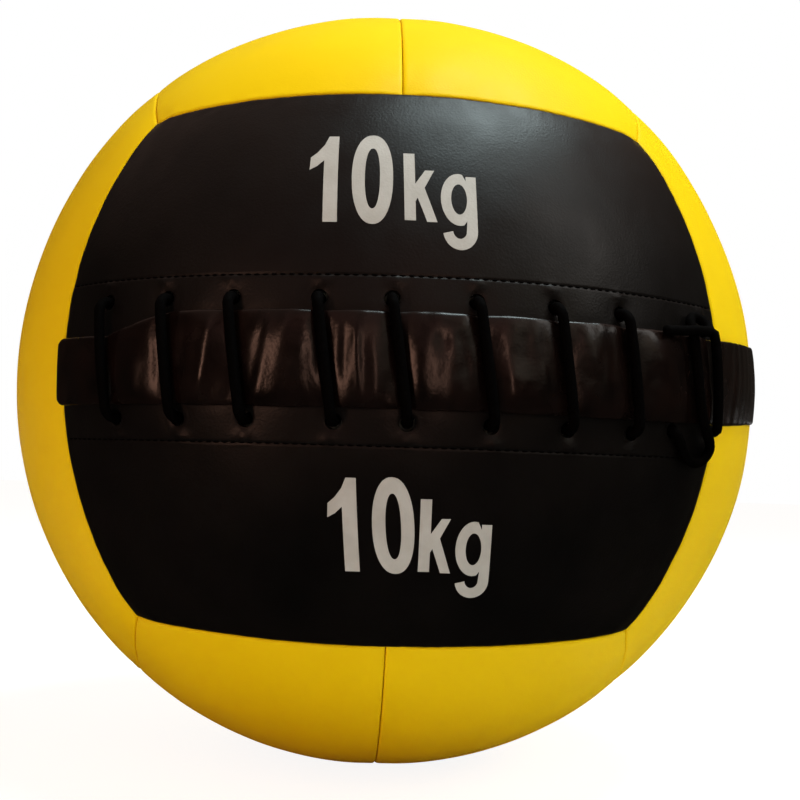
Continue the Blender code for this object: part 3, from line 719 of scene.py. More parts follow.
def inward_axis(seam, middle):
    """The side of a seam's plane that faces the panel's middle, and how far the plane lies that way."""
    first, second, third = (np.array(heading, float) for heading in seam[:3])
    axis = np.cross(second - first, third - first)
    axis /= np.linalg.norm(axis)
    axis *= math.copysign(1, middle @ axis - axis @ first)
    return axis, axis @ first


def seam_distances(headings, seams, middle):
    """How far each heading lies inside each seam, as one row for each seam."""
    planes = [inward_axis(seam, middle) for seam in seams.values()]
    turns = [np.arcsin(headings @ axis) - math.asin(offset) for axis, offset in planes]
    return np.array(turns) * BALL_RADIUS


def blended_grid(curves, i, j, u, v):
    """Headings that fill the four edge curves, at each column and row."""
    ridge, long_edge, near, far = (curves[name] for name in ("ridge", "long", "near", "far"))
    across = near[j] * (1 - u) + far[j] * u
    upward = ridge[i] * (1 - v) + long_edge[i] * v
    corners = (ridge[0] * (1 - u) + ridge[-1] * u) * (1 - v)
    corners += (long_edge[0] * (1 - u) + long_edge[-1] * u) * v
    return unit(across + upward - corners)


def drawn_back(headings, seams, middle, hem_gaps):
    """Draws the edges back from their seams, and by the hem's own gaps along the laced opening."""
    distances = seam_distances(headings, seams, middle)
    for name, distance in zip(seams, distances):
        gap = CLEARANCE / 2 + (hem_gaps if name == "ridge" else 0)
        axis, _ = inward_axis(seams[name], middle)
        inward = axis - headings * (headings @ axis)[:, None]
        headings = unit(headings + inward * (gap * share_of(1 - distance / GAP_FADE) / BALL_RADIUS)[:, None])
    return headings


def eyelet_places():
    """The slanting pairs of eyelets, as tops and bottoms, the end pair, and the one for the tie."""
    pitches = [k + shift for k, shift in enumerate(EYELET_SHIFT_SHARES)]
    tops = [(FIRST_EYELET + pitch * EYELET_PITCH, EYELET_HEIGHT) for pitch in pitches]
    bottoms = [(across + LACE_SLANT, -up) for across, up in tops]
    ends = [(END_EYELET, END_EYELET_HEIGHT), (END_EYELET + END_SLANT, -END_EYELET_HEIGHT)]
    return tops, bottoms, ends, (TIE_EYELET, -END_EYELET_HEIGHT)


def all_eyelets():
    tops, bottoms, ends, tie = eyelet_places()
    return [*tops, *bottoms, *ends, tie]


def laced_relief(headings):
    """Lifts round the opening: the sewn line, the dip and rim of each eyelet, the folds above it."""
    across, up = places_of(headings)
    high = np.abs(up)
    lift = -LINE_DEPTH * bump_at(high - BAND_LINE, LINE_WIDTH)
    for k, (place, level) in enumerate(all_eyelets()):
        on_side = np.where(np.sign(up) == np.sign(level), 1.0, 0.0)
        near = np.hypot(across - place, high - abs(level))
        lift -= on_side * EYELET_DIP * bump_at(near, EYELET_DIP_REACH)
        lift += on_side * EYELET_RIM * bump_at(near - EYELET_RIM_RADIUS, EYELET_RIM_WIDTH)
        above = share_of((high - abs(level) - EYELET_RADIUS) / PULL_FOLD_WIDTH)
        fade = above * bump_at(np.clip(high - BAND_LINE + LINE_REACH, 0, None), LINE_REACH)
        lean = PULL_FOLD_LEAN * math.sin(LEAN_CHANGE * k) * (high - abs(level))
        lift += on_side * PULL_FOLD * bump_at(across - place - lean, PULL_FOLD_WIDTH) * fade
        beside = bump_at(across - place - EYELET_PITCH / 2, BAND_PUFF_WIDTH)
        lift += on_side * BAND_PUFF * beside * share_of((BAND_LINE - high) / BAND_PUFF_REACH)
    return lift


def panel_lift(headings, inside, opens):
    """Height of a panel's face, from how far inside its four seams it lies."""
    points = headings * BALL_RADIUS
    bend = share_of(np.sum(share_of(1 - inside / ROLL_WIDTH) ** 2, 0))
    lift = -ROLL_DEPTH * (1 - np.sqrt(1 - bend * ROLL_SHARE))
    first, second = np.sort(inside, 0)[:2]
    lift -= CORNER_DEPTH * bump_at(np.hypot(first, second), CORNER_REACH)
    sewn = inside[1:].min(0) if opens else inside.min(0)
    tucks = 1 + waves(points, TUCK_PITCH, 3)
    lift -= SEAM_PULL * bump_at(sewn, SEAM_PULL_REACH) + TUCK_DEPTH * bump_at(sewn, TUCK_REACH) * tucks
    lift += SWELL * waves(points, SWELL_LENGTH, 7) + DIMPLE * waves(points, DIMPLE_LENGTH, 11)
    if opens:
        lift += laced_relief(headings) * share_of(inside.min(0) / ROLL_WIDTH)
    return lift


def turn_in_edges(piece):
    """Extrudes the panel's border towards the ball's centre, as its seam allowances."""
    inward = 1 - (SEAM_DEPTH - ROLL_DEPTH) / BALL_RADIUS
    with editing(piece):
        bpy.ops.mesh.select_mode(type="EDGE")
        bpy.ops.mesh.select_all(action="DESELECT")
        bpy.ops.mesh.select_non_manifold()
        bpy.ops.mesh.extrude_edges_move()
        bpy.ops.transform.resize(value=(inward, inward, inward), center_override=CENTRE)
    recalculate(piece)
    face_outwards(piece)


def shorten_hem(piece):
    """Leaves less turned in along the laced opening than at the sewn seams."""
    from_centre = points_of(piece) - np.array(CENTRE)
    reach = np.linalg.norm(from_centre, axis=1)
    hem_reach = BALL_RADIUS - HEM_DEPTH - OPENING_SINK
    up = places_of(from_centre / reach[:, None])[1]
    deep = (np.abs(up) < OPENING_GAP) & (reach < hem_reach - PANEL_WALL / 2)
    from_centre[deep] *= (hem_reach / reach[deep])[:, None]
    put_points(piece, from_centre + np.array(CENTRE))


# Cover panels


def make_eyelet_punches():
    """One round cutter through the cover along the heading of each eyelet, as one piece."""
    cutters = []
    for across, up in all_eyelets():
        outside, inside = (Vector(spots(across, up, lift)) for lift in (PUNCH_REACH, -PUNCH_REACH))
        cutter = primitive(
            "eyelet_punches",
            bpy.ops.mesh.primitive_cylinder_add,
            vertices=EYELET_SIDES,
            radius=EYELET_RADIUS,
            depth=(outside - inside).length,
            location=(outside + inside) / 2,
            rotation=(outside - inside).to_track_quat("Z", "Y").to_euler(),
        )
        cutters.append(cutter)
    for cutter in cutters:
        cutter.select_set(True)
    bpy.ops.object.join()
    return bpy.context.object


def panel_piece(name, face, along, side, degrees, side_degrees, opens):
    seams = panel_seams(face, along, side, degrees, side_degrees)
    width, height = 2 * reach_of(degrees), reach_of(90 - side_degrees)
    steps = (LACED_STEP, LINE_STEP, LACED_STEP, MESH_STEP) if opens else (MESH_STEP,)
    across_shares = edge_spaced(width, EDGE_PLACES, steps[:1]) / width
    up_shares = edge_spaced(height, EDGE_PLACES, steps, LACED_STOPS if opens else ()) / height
    piece, i, j = grid_piece(name, len(across_shares) - 1, len(up_shares) - 1)
    curves = {}
    for way, (first, second, third, start) in seams.items():
        shares = across_shares if way in ("ridge", "long") else start + (1 - start) * up_shares
        curves[way] = seam_arc(first, second, third, shares)
    headings = blended_grid(curves, i, j, across_shares[i][:, None], up_shares[j][:, None])
    middle = headings.mean(0) / np.linalg.norm(headings.mean(0))

    hem_gaps = np.zeros(len(headings))
    if opens:
        hem_gaps = OPENING_GAP / 2 * (1 - (2 * across_shares[i] - 1) ** 2)
    headings = drawn_back(headings, seams, middle, hem_gaps)
    inside = seam_distances(headings, seams, middle)
    inside[0] -= hem_gaps
    lift = panel_lift(headings, np.clip(inside - CLEARANCE / 2, 0, None), opens)
    points = on_ball(headings, lift)
    points[:, 2] = np.maximum(points[:, 2], -np.minimum(lift, 0))
    put_points(piece, points)
    turn_in_edges(piece)
    if opens:
        shorten_hem(piece)
    thicken(piece, PANEL_WALL)
    return piece


def make_panels(finishes, punches):
    """Six faces of two panels each, whose straight seams run across, away and up in turn."""
    faces = (
        ("front", -BACK, RIGHT, UP, FRONT_SEAM_DEGREES, TOP_SEAM_DEGREES, ("upper", "lower")),
        ("back", BACK, RIGHT, UP, FRONT_SEAM_DEGREES, TOP_SEAM_DEGREES, ("upper", "lower")),
        ("top", UP, BACK, RIGHT, TOP_SEAM_DEGREES, SIDE_SEAM_DEGREES, ("right", "left")),
        ("bottom", -UP, BACK, RIGHT, TOP_SEAM_DEGREES, SIDE_SEAM_DEGREES, ("right", "left")),
        ("right", RIGHT, UP, BACK, SIDE_SEAM_DEGREES, FRONT_SEAM_DEGREES, ("back", "front")),
        ("left", -RIGHT, UP, BACK, SIDE_SEAM_DEGREES, FRONT_SEAM_DEGREES, ("back", "front")),
    )
    fronts = []
    for where, face, along, side, degrees, side_degrees, halves in faces:
        opens = where == "front"
        colour = "black" if opens else "yellow"
        for half, way in zip(halves, (side, -side)):
            piece = panel_piece(f"{where}_{half}_cover", face, along, way, degrees, side_degrees, opens)
            if opens:
                combine(piece, "DIFFERENCE", punches)
                fronts.append(piece)
            finished(piece, finishes[colour], [f"panel_{where}_{half}"])
    return fronts


def laid_on(panels, across, up, lifts):
    """Points on the finished panels at these places, raised above them by these lifts."""
    graph = bpy.context.evaluated_depsgraph_get()
    trees = [BVHTree.FromObject(panel, graph) for panel in panels]
    outside, inside = spots(across, up, LAY_REACH), spots(across, up, -LAY_REACH)
    ways = unit(inside - outside)
    points = spots(across, up, 0)
    for k, (start, way) in enumerate(zip(outside, ways)):
        hits = [hit for hit in (tree.ray_cast(Vector(start), Vector(way)) for tree in trees) if hit[0]]
        if hits:
            points[k] = min(hits, key=lambda hit: hit[3])[0]
    return points - ways * np.broadcast_to(lifts, len(points))[:, None]


# Cover strip


def pass_lines():
    """Where each pass of the lace crosses the middle of the strip, with its slant."""
    tops, bottoms, ends, _ = eyelet_places()
    lines = [((top[0] + low[0]) / 2, low[0] - top[0]) for top, low in zip(tops, bottoms)]
    return [*lines, (LACE_KNOT[0][0] * MM, LACE_SLANT), ((ends[0][0] + ends[1][0]) / 2, END_SLANT)]


def strip_edges(middle):
    """The strip's two edges: it is cut lower left of the second pass, and rises past the last one."""
    (first, _), (second, _), *_, (last, _) = pass_lines()
    held = last + LACE_DIAMETER
    scant = STRIP_LEFT_SCANT * share_of((second - middle) / (second - first))
    rise = STRIP_RIGHT_RISE * share_of((middle - held) / (STRIP_RIGHT_END - held))
    return rise - STRIP_WIDTH / 2, rise + STRIP_WIDTH / 2 - scant


def strip_lift(across, up, side):
    """The strip's height: held down under each pass, puffed and folded between passes."""
    lines = pass_lines()
    lift = np.zeros_like(across)
    crown = 1 - PUFF_CROWN_SHARE * side**4
    for bay, ((left, slant), (right, _)) in enumerate(zip(lines, lines[1:])):
        straight = across + slant * up / (2 * EYELET_HEIGHT)
        inside = (straight > left) & (straight <= right)
        tight = min(1, (right - left) / EYELET_PITCH)
        share = share_of((straight - left - PUFF_FLAT) / (right - left - 2 * PUFF_FLAT))
        leaning = share - CREST_LEANS[bay] * side * 4 * share * (1 - share)
        rise = 1 - np.abs(2 * leaning - 1) ** PUFF_FULLNESS
        lift += inside * PUFF * PUFF_SHARES[bay] * tight * rise * crown
        for number, top, bottom, low, high, width, height in FOLDS:
            if number == bay:
                place = bottom + (top - bottom) * (side + 1) / 2
                there = share_of((side - low) / FOLD_FADE_SHARE) * share_of((high - side) / FOLD_FADE_SHARE)
                fold = bump_at(straight - left - place * (right - left), width * MM)
                lift += inside * (height * MM) * fold * there * rise
    flat = flat_points(across, up)
    crumple = CRUMPLE * waves(flat, CRUMPLE_LENGTH, 21) + CRUMPLE / 2 * waves(flat, CRUMPLE_LENGTH / 2, 22)
    streaky = flat_points(across + STREAK_LEAN * up, up / STREAK_STRETCH)
    crumple += STREAK * waves(streaky, STREAK_LENGTH, 27)
    held = lines[-1][0] + LACE_DIAMETER
    settled = share_of((across - held) / EYELET_PITCH)
    settled *= SETTLE_MIDDLE_SHARE + (1 - SETTLE_MIDDLE_SHARE) * side**2
    return lift + crumple - STRIP_SETTLE * settled


def make_strip(finish):
    columns = round((STRIP_RIGHT_END - STRIP_LEFT_END) / STRIP_STEP)
    from_bottom = edge_spaced(STRIP_WIDTH, STRIP_EDGE_PLACES, [STRIP_STEP])
    piece, i, j = grid_piece("laced_strip", columns, len(from_bottom) - 1)
    across = STRIP_LEFT_END + (STRIP_RIGHT_END - STRIP_LEFT_END) * i / columns
    low, high = strip_edges(across)
    half_width, middle_up = (high - low) / 2, (high + low) / 2
    side = 2 * from_bottom[j] / STRIP_WIDTH - 1
    from_end = np.minimum(across - STRIP_LEFT_END, STRIP_RIGHT_END - across)
    narrowing = STRIP_CORNER * rounded(from_end / STRIP_CORNER)
    for line, slant in pass_lines():
        place = line - slant * side * half_width / (2 * EYELET_HEIGHT)
        narrowing += STRIP_NIP * bump_at(across - place, STRIP_NIP_REACH)
    narrowing += STRIP_WANDER * (1 + waves(flat_points(across, 0.0), STRIP_WANDER_LENGTH, 33))
    up = middle_up + side * (half_width - narrowing)
    to_edge = np.minimum((1 - np.abs(side)) * half_width, from_end)
    lift = STRIP_TOP + strip_lift(across, up, side) - STRIP_EDGE_DROP * rounded(to_edge / STRIP_EDGE_REACH)
    put_points(piece, spots(across, up, lift))
    face_outwards(piece)
    thicken(piece, STRIP_SKIN)
    finished(piece, finish, ["cover_strip"], 60)


# Lace


def bends():
    """Steps of a quarter bend, as how far out and how far along it each is, from 0 to 1."""
    angles = [k / BEND_STEPS * math.pi / 2 for k in range(BEND_STEPS + 1)]
    return [(math.cos(angle), math.sin(angle)) for angle in angles]


def slanted(profile, start, end):
    slope = (end[0] - start[0]) / (end[1] - start[1])
    return [(start[0] + (up - start[1]) * slope, up, lift) for up, lift in profile]


def pass_over(start, end):
    edge, reach = STRIP_WIDTH / 2, abs(start[1]) - STRIP_WIDTH / 2
    way = math.copysign(1, start[1])
    climb = [(way * (edge + reach * out), LACE_LIFT * rise) for out, rise in bends()]
    flat = [(way * edge / 3, LACE_LIFT), (-way * edge / 3, LACE_LIFT)]
    return slanted(climb + flat + [(-up, lift) for up, lift in reversed(climb)], start, end)


def inner_bend():
    return [(LACE_INNER_BEND * (1 - out), LACE_EXIT - LACE_INNER_BEND * rise) for out, rise in bends()]


def pass_under(start, end):
    ways = [math.copysign(1, up) for across, up in (start, end)]
    dive = [(start[1] - ways[0] * step, lift) for step, lift in inner_bend()]
    rise = [(end[1] - ways[1] * step, lift) for step, lift in reversed(inner_bend())]
    first, last = dive[-1], rise[0]
    flat = [(first[0] + (last[0] - first[0]) * share, first[1]) for share in (1 / 3, 2 / 3)]
    return slanted(dive + flat + rise, start, end)


def pass_beside(start, end):
    way = math.copysign(1, end[0] - start[0])
    dive = [(start[0] + way * step, start[1], lift) for step, lift in inner_bend()]
    return dive + [(end[0] - way * step, end[1], lift) for step, lift in reversed(inner_bend())]


def lace_route():
    """The lace's whole way, as in the construction."""
    tops, bottoms, ends, tie = eyelet_places()
    across, level = tops[0]
    route = [(across + aside * MM, up * MM, LACE_DEEP) for aside, up in LACE_TAIL]
    route += [(across, level - step, lift) for step, lift in reversed(inner_bend())]
    for top, bottom, after in zip(tops, bottoms, [*tops[1:], ends[0]]):
        route += pass_over(top, bottom)
        route += pass_under(bottom, after)
    route += pass_over(*ends)
    route += pass_beside(ends[1], tie)
    return np.concatenate([route, np.array(LACE_LOOP + LACE_KNOT) * MM])


def smoothed(points, closeness):
    """Points about this far apart on a smooth curve through the given ones."""
    padded = [2 * points[0] - points[1], *points, 2 * points[-1] - points[-2]]
    curve = []
    for before, start, end, after in zip(padded, padded[1:], padded[2:], padded[3:]):
        steps = max(1, round(np.linalg.norm(end - start) / closeness))
        for t in np.arange(steps) / steps:
            bend = before * -0.5 + start * 1.5 - end * 1.5 + after * 0.5
            lean = before - start * 2.5 + end * 2 - after * 0.5
            curve.append(start + ((end - before) * 0.5 + (lean + bend * t) * t) * t)
    return np.array([*curve, points[-1]])


def level_frames(line):
    """At each point of the line, the way along it and two ways square to it that never twist."""
    ways = unit(np.gradient(line, axis=0))
    side = np.cross(ways[0], line[0] - np.array(CENTRE))
    sides = []
    for way in ways:
        side = side - way * (side @ way)
        side /= np.linalg.norm(side)
        sides.append(side)
    return ways, np.array(sides), np.cross(sides, ways)


def make_lace(finish):
    """A braided round cord: strands of two ways over and under each other round the route."""
    route = lace_route()
    line = smoothed(spots(route[:, 0], route[:, 1], route[:, 2]), LACE_STEP)
    ways, sides, normals = level_frames(line)
    travelled = np.concatenate([[0], np.cumsum(np.linalg.norm(np.diff(line, axis=0), axis=1))])
    turns = np.arange(LACE_SIDES) / LACE_SIDES * FULL_TURN
    lay = FULL_TURN * travelled[:, None] / LACE_LAY
    strands = np.maximum(*(np.cos(LACE_STRANDS * (turns + way * lay)) for way in (1, -1)))
    radius = LACE_RADIUS - LACE_RELIEF * (1 - strands)
    ring = line[:, None] + sides[:, None] * (np.cos(turns) * radius)[..., None]
    ring = ring + normals[:, None] * (np.sin(turns) * radius)[..., None]
    tips = [line[0] - ways[0] * LACE_RADIUS / 2, line[-1] + ways[-1] * LACE_RADIUS / 2]
    last = (len(line) - 1) * LACE_SIDES
    tip = len(line) * LACE_SIDES
    faces = []
    for k in range(LACE_SIDES):
        after = (k + 1) % LACE_SIDES
        for start in range(0, last, LACE_SIDES):
            faces.append((start + k, start + after, start + LACE_SIDES + after, start + LACE_SIDES + k))
        faces += [(tip, after, k), (tip + 1, last + k, last + after)]
    piece = mesh_piece("lace_braid", [*ring.reshape(-1, 3), *tips], faces)
    recalculate(piece)
    finished(piece, finish, ["lace"], 80)


# Sewn lines, webbing and liner


def make_stitches(finish, fronts):
    """A row of thread on each laced panel, along the line that holds its eyelet band."""
    for half, way in HALVES:
        seed = primitive("stitch", bpy.ops.mesh.primitive_uv_sphere_add, segments=8, ring_count=6, radius=1)
        shape = points_of(seed)
        rings = [list(ring.vertices) for ring in seed.data.polygons]
        bpy.data.objects.remove(seed)
        count = int(2 * BAND_HALF_LENGTH / STITCH_PITCH)
        faces = [[corner + k * len(shape) for corner in ring] for k in range(count) for ring in rings]
        middles = -BAND_HALF_LENGTH + (np.arange(count)[:, None] + 0.5) * STITCH_PITCH
        along = (middles + shape[:, 0] * STITCH_LENGTH / 2).ravel()
        across = np.tile(shape[:, 1] * THREAD_RADIUS, count)
        bowed = shape[:, 2] * THREAD_RADIUS - (shape[:, 0] ** 2 - STITCH_RISE_SHARE) * THREAD_RADIUS
        points = laid_on(fronts, along, way * BAND_LINE + across, np.tile(bowed, count))
        finished(mesh_piece(f"{half}_band_stitches", points, faces), finish, smooth_degrees=80)


def make_bands(finish, punches):
    """A doubled strip of webbing behind each hem of the opening, with the eyelets punched through."""
    for half, way in HALVES:
        columns, rows = round(2 * BAND_HALF_LENGTH / BAND_STEP), round(BAND_WIDTH / BAND_STEP)
        piece, i, j = grid_piece(f"{half}_eyelet_webbing", columns, rows)
        across = BAND_HALF_LENGTH * (2 * i / columns - 1)
        lens = 1 - (across / OPENING_HALF_LENGTH) ** 2
        inner = (OPENING_GAP * lens + CLEARANCE) / 2 + PANEL_WALL + CLEARANCE
        ribs = BAND_RIB * (j % 2)
        put_points(piece, spots(across, way * (inner + BAND_WIDTH * j / rows), BAND_LIFT - ribs))
        face_outwards(piece)
        thicken(piece, BAND_WALL - BAND_RIB)
        combine(piece, "DIFFERENCE", punches)
        finished(piece, finish, [f"eyelet_band_{half}"])


def half_ball(name, way, filled):
    """The half of a ball of radius 1 above or below its middle, and which of its points are on the rim."""
    sphere = bpy.ops.mesh.primitive_uv_sphere_add
    piece = primitive(name, sphere, segments=STUFFING_TURNS, ring_count=STUFFING_ROWS, radius=1)
    with editing(piece):
        bpy.ops.mesh.bisect(plane_co=(0, 0, 0), plane_no=(0, 0, way), use_fill=filled, clear_inner=True)
    return piece, np.abs(points_of(piece)[:, 2]) < CLEARANCE


def lay_half(piece, rim, lift, rim_up):
    """Puts the half ball at this lift on the ball, resting on its floor, with its rim at a height."""
    points = on_ball(unit(points_of(piece)), lift)
    points[:, 2] = np.maximum(points[:, 2], -lift)
    points[rim, 2] = CENTRE.z + rim_up[rim]
    put_points(piece, points)


def make_liner(finish):
    """Two canvas halves, sewn at the ball's middle and open in a slit behind the laced opening."""
    for half, way in HALVES:
        piece, rim = half_ball(f"{half}_liner_canvas", way, False)
        headings = points_of(piece)
        wrinkles = hollows(headings * BALL_RADIUS, WRINKLE, WRINKLE_LENGTH, 41)
        facing = np.clip(-headings[:, 1] - math.cos(math.radians(FRONT_SEAM_DEGREES)), 0, None)
        gap = CLEARANCE / 2 + LINER_SLIT / 2 * np.minimum(1, facing / SLIT_TAPER_SHARE)
        lay_half(piece, rim, LINER_LIFT - wrinkles * ~rim, way * gap)
        face_outwards(piece)
        thicken(piece, LINER_WALL - WRINKLE)
        finished(piece, finish, [f"liner_{half}"])


# Weight and stuffing


def round_skin(name, out, forward):
    """A skin turned about the line to the front, through rings this far out and forward."""
    piece, i, j = grid_piece(name, WEIGHT_TURNS, len(forward) - 1)
    turns = FULL_TURN * i / WEIGHT_TURNS
    out = np.broadcast_to(out, (WEIGHT_TURNS + 1, len(forward)))[i % WEIGHT_TURNS, j]
    points = np.stack([out * np.cos(turns), -forward[j], CENTRE.z + out * np.sin(turns)], -1)
    put_points(piece, points)
    with editing(piece):
        bpy.ops.mesh.remove_doubles(threshold=MERGE_REACH)
        bpy.ops.mesh.normals_make_consistent(inside=False)
    return piece


def weight_rings(radius, neck, end, closed):
    """How far out and forward the weight's rings lie, from its back to the end of its neck."""
    stop = math.pi - math.asin(neck / radius)
    turns = np.linspace(0, stop, WEIGHT_ROWS)
    necks = np.linspace(-radius * math.cos(stop), end, NECK_ROWS)[1:]
    out = np.concatenate([radius * np.sin(turns), np.full(len(necks), neck), [0] * closed])
    return out, np.concatenate([-radius * np.cos(turns), necks, [end] * closed])


def pleat_share(forward):
    """How far the weight's cloth is gathered towards its neck, from 0 to 1."""
    return share_of((forward - PLEAT_START) / PLEAT_REACH)


def make_weight(finishes):
    """The cloth bag at the core, gathered to a neck, its iron sand, and the tie round the neck."""
    turns = np.arange(WEIGHT_TURNS + 1)[:, None] / WEIGHT_TURNS * FULL_TURN
    out, forward = weight_rings(WEIGHT_RADIUS, NECK_RADIUS, NECK_END, False)
    pleats = PLEAT_DEPTH / 2 * (1 + np.cos(PLEATS * turns + 2 * np.sin(turns)))
    bag = round_skin("gathered_weight_bag", np.maximum(out - pleats * pleat_share(forward), 0), forward)
    thicken(bag, WEIGHT_CLOTH)
    finished(bag, finishes["cloth"], ["weight_bag"])

    neck = NECK_RADIUS - PLEAT_DEPTH - 2 * WEIGHT_CLOTH
    out, forward = weight_rings(WEIGHT_RADIUS - SAND_ROOM, neck, TIE_PLACE, True)
    sunk = PLEAT_DEPTH * pleat_share(forward) * (out > neck)
    sand = round_skin("loose_iron_sand", np.maximum(out - sunk, 0), forward)
    finished(sand, finishes["sand"], ["iron_sand"], 80)
    make_tie(finishes["nylon"])


def make_tie(finish):
    """A nylon strap drawn tight round the neck, with the head that locks it."""
    inner = NECK_RADIUS + CLEARANCE
    strap = primitive(
        "neck_tie",
        bpy.ops.mesh.primitive_torus_add,
        major_segments=WEIGHT_TURNS,
        minor_segments=TIE_SIDES,
        major_radius=inner + TIE_THICKNESS / 2,
        minor_radius=TIE_THICKNESS / 2,
        location=(0, -TIE_PLACE, CENTRE.z),
        rotation=(math.pi / 2, 0, 0),
    )
    points = points_of(strap)
    offset = points[:, [0, 2]] - (0, CENTRE.z)
    reach = np.linalg.norm(offset, axis=1)
    flattened = (inner + (reach - inner) * TIE_FLAT_SHARE) / reach
    points[:, [0, 2]] = offset * flattened[:, None] + (0, CENTRE.z)
    put_points(strap, points)
    place = (inner + TIE_HEAD[0] / 2, -TIE_PLACE, CENTRE.z)
    head = primitive("tie_head", bpy.ops.mesh.primitive_cube_add, size=1, location=place, scale=TIE_HEAD)
    modified(head, "BEVEL", width=TIE_HEAD_EDGE, segments=3)
    combine(strap, "UNION", head)
    bpy.data.objects.remove(head)
    finished(strap, finish, ["bag_tie"])


def make_wads(finish):
    """Packed fibre above and below the weight, each a lumpy half ball with the weight's hollow in it."""
    room = NECK_RADIUS + CLEARANCE + TIE_THICKNESS + CLEARANCE
    out, forward = weight_rings(WEIGHT_RADIUS + CLEARANCE, room, NECK_END + CLEARANCE, True)
    hollow = round_skin("weight_hollow", out, forward)
    for half, way in HALVES:
        piece, rim = half_ball(f"{half}_fibre_wad", way, True)
        places = points_of(piece) * BALL_RADIUS
        lumps, tufts = hollows(places, LUMP, LUMP_LENGTH, 51), hollows(places, TUFT, TUFT_LENGTH, 52)
        lay_half(piece, rim, FILLING_LIFT - lumps - tufts, np.full(len(places), way * CLEARANCE / 2))
        recalculate(piece)
        combine(piece, "DIFFERENCE", hollow)
        finished(piece, finish, [f"filling_{half}"])
    bpy.data.objects.remove(hollow)


# Marks: the ball's weight in plain figures


def arc(centre, radii, start, end, steps, fullness=1.0):
    """Points round an oval between two angles in degrees. Fullness under 1 squares it a little."""
    points = []
    for k in range(steps + 1):
        angle = math.radians(start + (end - start) * k / steps)
        ways = (math.cos(angle), math.sin(angle))
        x, y = (math.copysign(abs(way) ** fullness, way) for way in ways)
        points.append((centre[0] + radii[0] * x, centre[1] + radii[1] * y))
    return points


def oval(centre, radii, fullness=1.0):
    return arc(centre, radii, 0, 360, 48, fullness)[:-1]


def figure_outlines():
    """A one and a nought, as closed outlines in millimetres from the left end of the baseline."""
    one = [
        (0.2, 21.9), (0.5, 27.4), (3, 29.7), (5.6, 33.3), (7.2, 37.3), (10.9, 37.3), (10.9, 0),
        (5.6, 0), (5.6, 26.2), (3, 23.6),
    ]
    middle = (23.7, 18.7)
    return [one, oval(middle, (7.6, 19.3), 0.9), oval(middle, (2.8, 13.1), 0.9)]


def unit_outlines():
    """A k and a g, as closed outlines in millimetres from the left end of the baseline."""
    k = [
        (0, 0), (0, 28.5), (4.1, 28.5), (4.1, 15.2), (7.9, 21.2), (11.2, 21.2), (7.5, 13.6),
        (11.9, -0.4), (8.2, -0.4), (4.9, 9.4), (4.1, 7.9), (4.1, 0),
    ]
    bowl, hook = (20.15, 9.5), (20.3, -3.6)
    g = [(22.9, 19.3), (26.7, 19.3), *arc(hook, (6.4, 7.3), 0, -172, 20)]
    g += [*arc((20.1, -3.2), (2.6, 3.4), -172, -20, 10), (22.9, 0.6)]
    g += [*arc(bowl, (6.75, 10.9), -76, -282, 32), (22.9, 17.3)]
    return [k, g, oval(bowl, (2.95, 6.4))]


def flat_print(name, outlines, height_share):
    """Signs filled in on a flat sheet, sliced fine enough to bend."""
    curve = bpy.data.curves.new(name, "CURVE")
    curve.dimensions = "2D"
    curve.fill_mode = "BOTH"
    for outline in outlines:
        spline = curve.splines.new("POLY")
        spline.points.add(len(outline) - 1)
        spline.use_cyclic_u = True
        for spline_point, (x, y) in zip(spline.points, outline):
            spline_point.co = (x * MM, y * height_share * MM, 0, 1)
    only(placed(name, curve))
    bpy.ops.object.convert(target="MESH")
    piece = bpy.context.object
    low, high = points_of(piece).min(0), points_of(piece).max(0)
    with editing(piece):
        for axis, way in enumerate(((1, 0, 0), (0, 1, 0))):
            for place in stepped(low[axis], high[axis], MARK_STEP)[1:]:
                bpy.ops.mesh.select_all(action="SELECT")
                bpy.ops.mesh.bisect(plane_co=[place * step for step in way], plane_no=way)
        bpy.ops.mesh.select_all(action="SELECT")
        bpy.ops.mesh.remove_doubles(threshold=MERGE_REACH)
    return piece


def make_marks(finish, fronts):
    """The printed signs, each laid on the cover from its left end and its baseline."""
    marks = (
        ("upper_figures", figure_outlines(), -35.8 * MM, 50.2 * MM, 1, UPPER_LEAN_SHARE),
        ("upper_unit", unit_outlines(), 1.2 * MM, 51.6 * MM, 1, UPPER_LEAN_SHARE / 3),
        ("lower_figures", figure_outlines(), -24 * MM, -77.1 * MM, 0.95, LOWER_LEAN_SHARE),
        ("lower_unit", unit_outlines(), 11.2 * MM, -76.6 * MM, 0.98, LOWER_LEAN_SHARE),
    )
    for name, outlines, left, baseline, height_share, lean_share in marks:
        piece = flat_print(name, outlines, height_share)
        flat = points_of(piece)
        up = baseline + flat[:, 1]
        across = left + (flat[:, 0] - lean_share * flat[:, 1]) / np.cos(up / BALL_RADIUS)
        put_points(piece, laid_on(fronts, across, up, INK_WALL))
        face_outwards(piece)
        thicken(piece, INK_WALL * (1 + INK_SUNK_SHARE))
        finished(piece, finish, smooth_degrees=60)


# Stage


def seen_by(owner, *kinds):
    """1 where a ray is of one of these kinds."""
    path = node(owner, "LightPath")
    return worked_out(owner, "MAXIMUM", *(path.outputs[f"Is {kind} Ray"] for kind in kinds))


def mixed(owner, share, first, second):
    made = node(owner, "MixShader")
    join(owner, (share, made.inputs["Fac"]), (first, made.inputs[1]), (second, made.inputs[2]))
    return made.outputs["Shader"]


def shining(owner, kind, colour, strength):
    """An Emission or Background of this colour."""
    return node(owner, kind, Color=(*colour, 1), Strength=strength).outputs[0]


def diffuse(material, paleness):
    return node(material, "BsdfDiffuse", Color=(paleness, paleness, paleness, 1)).outputs["BSDF"]


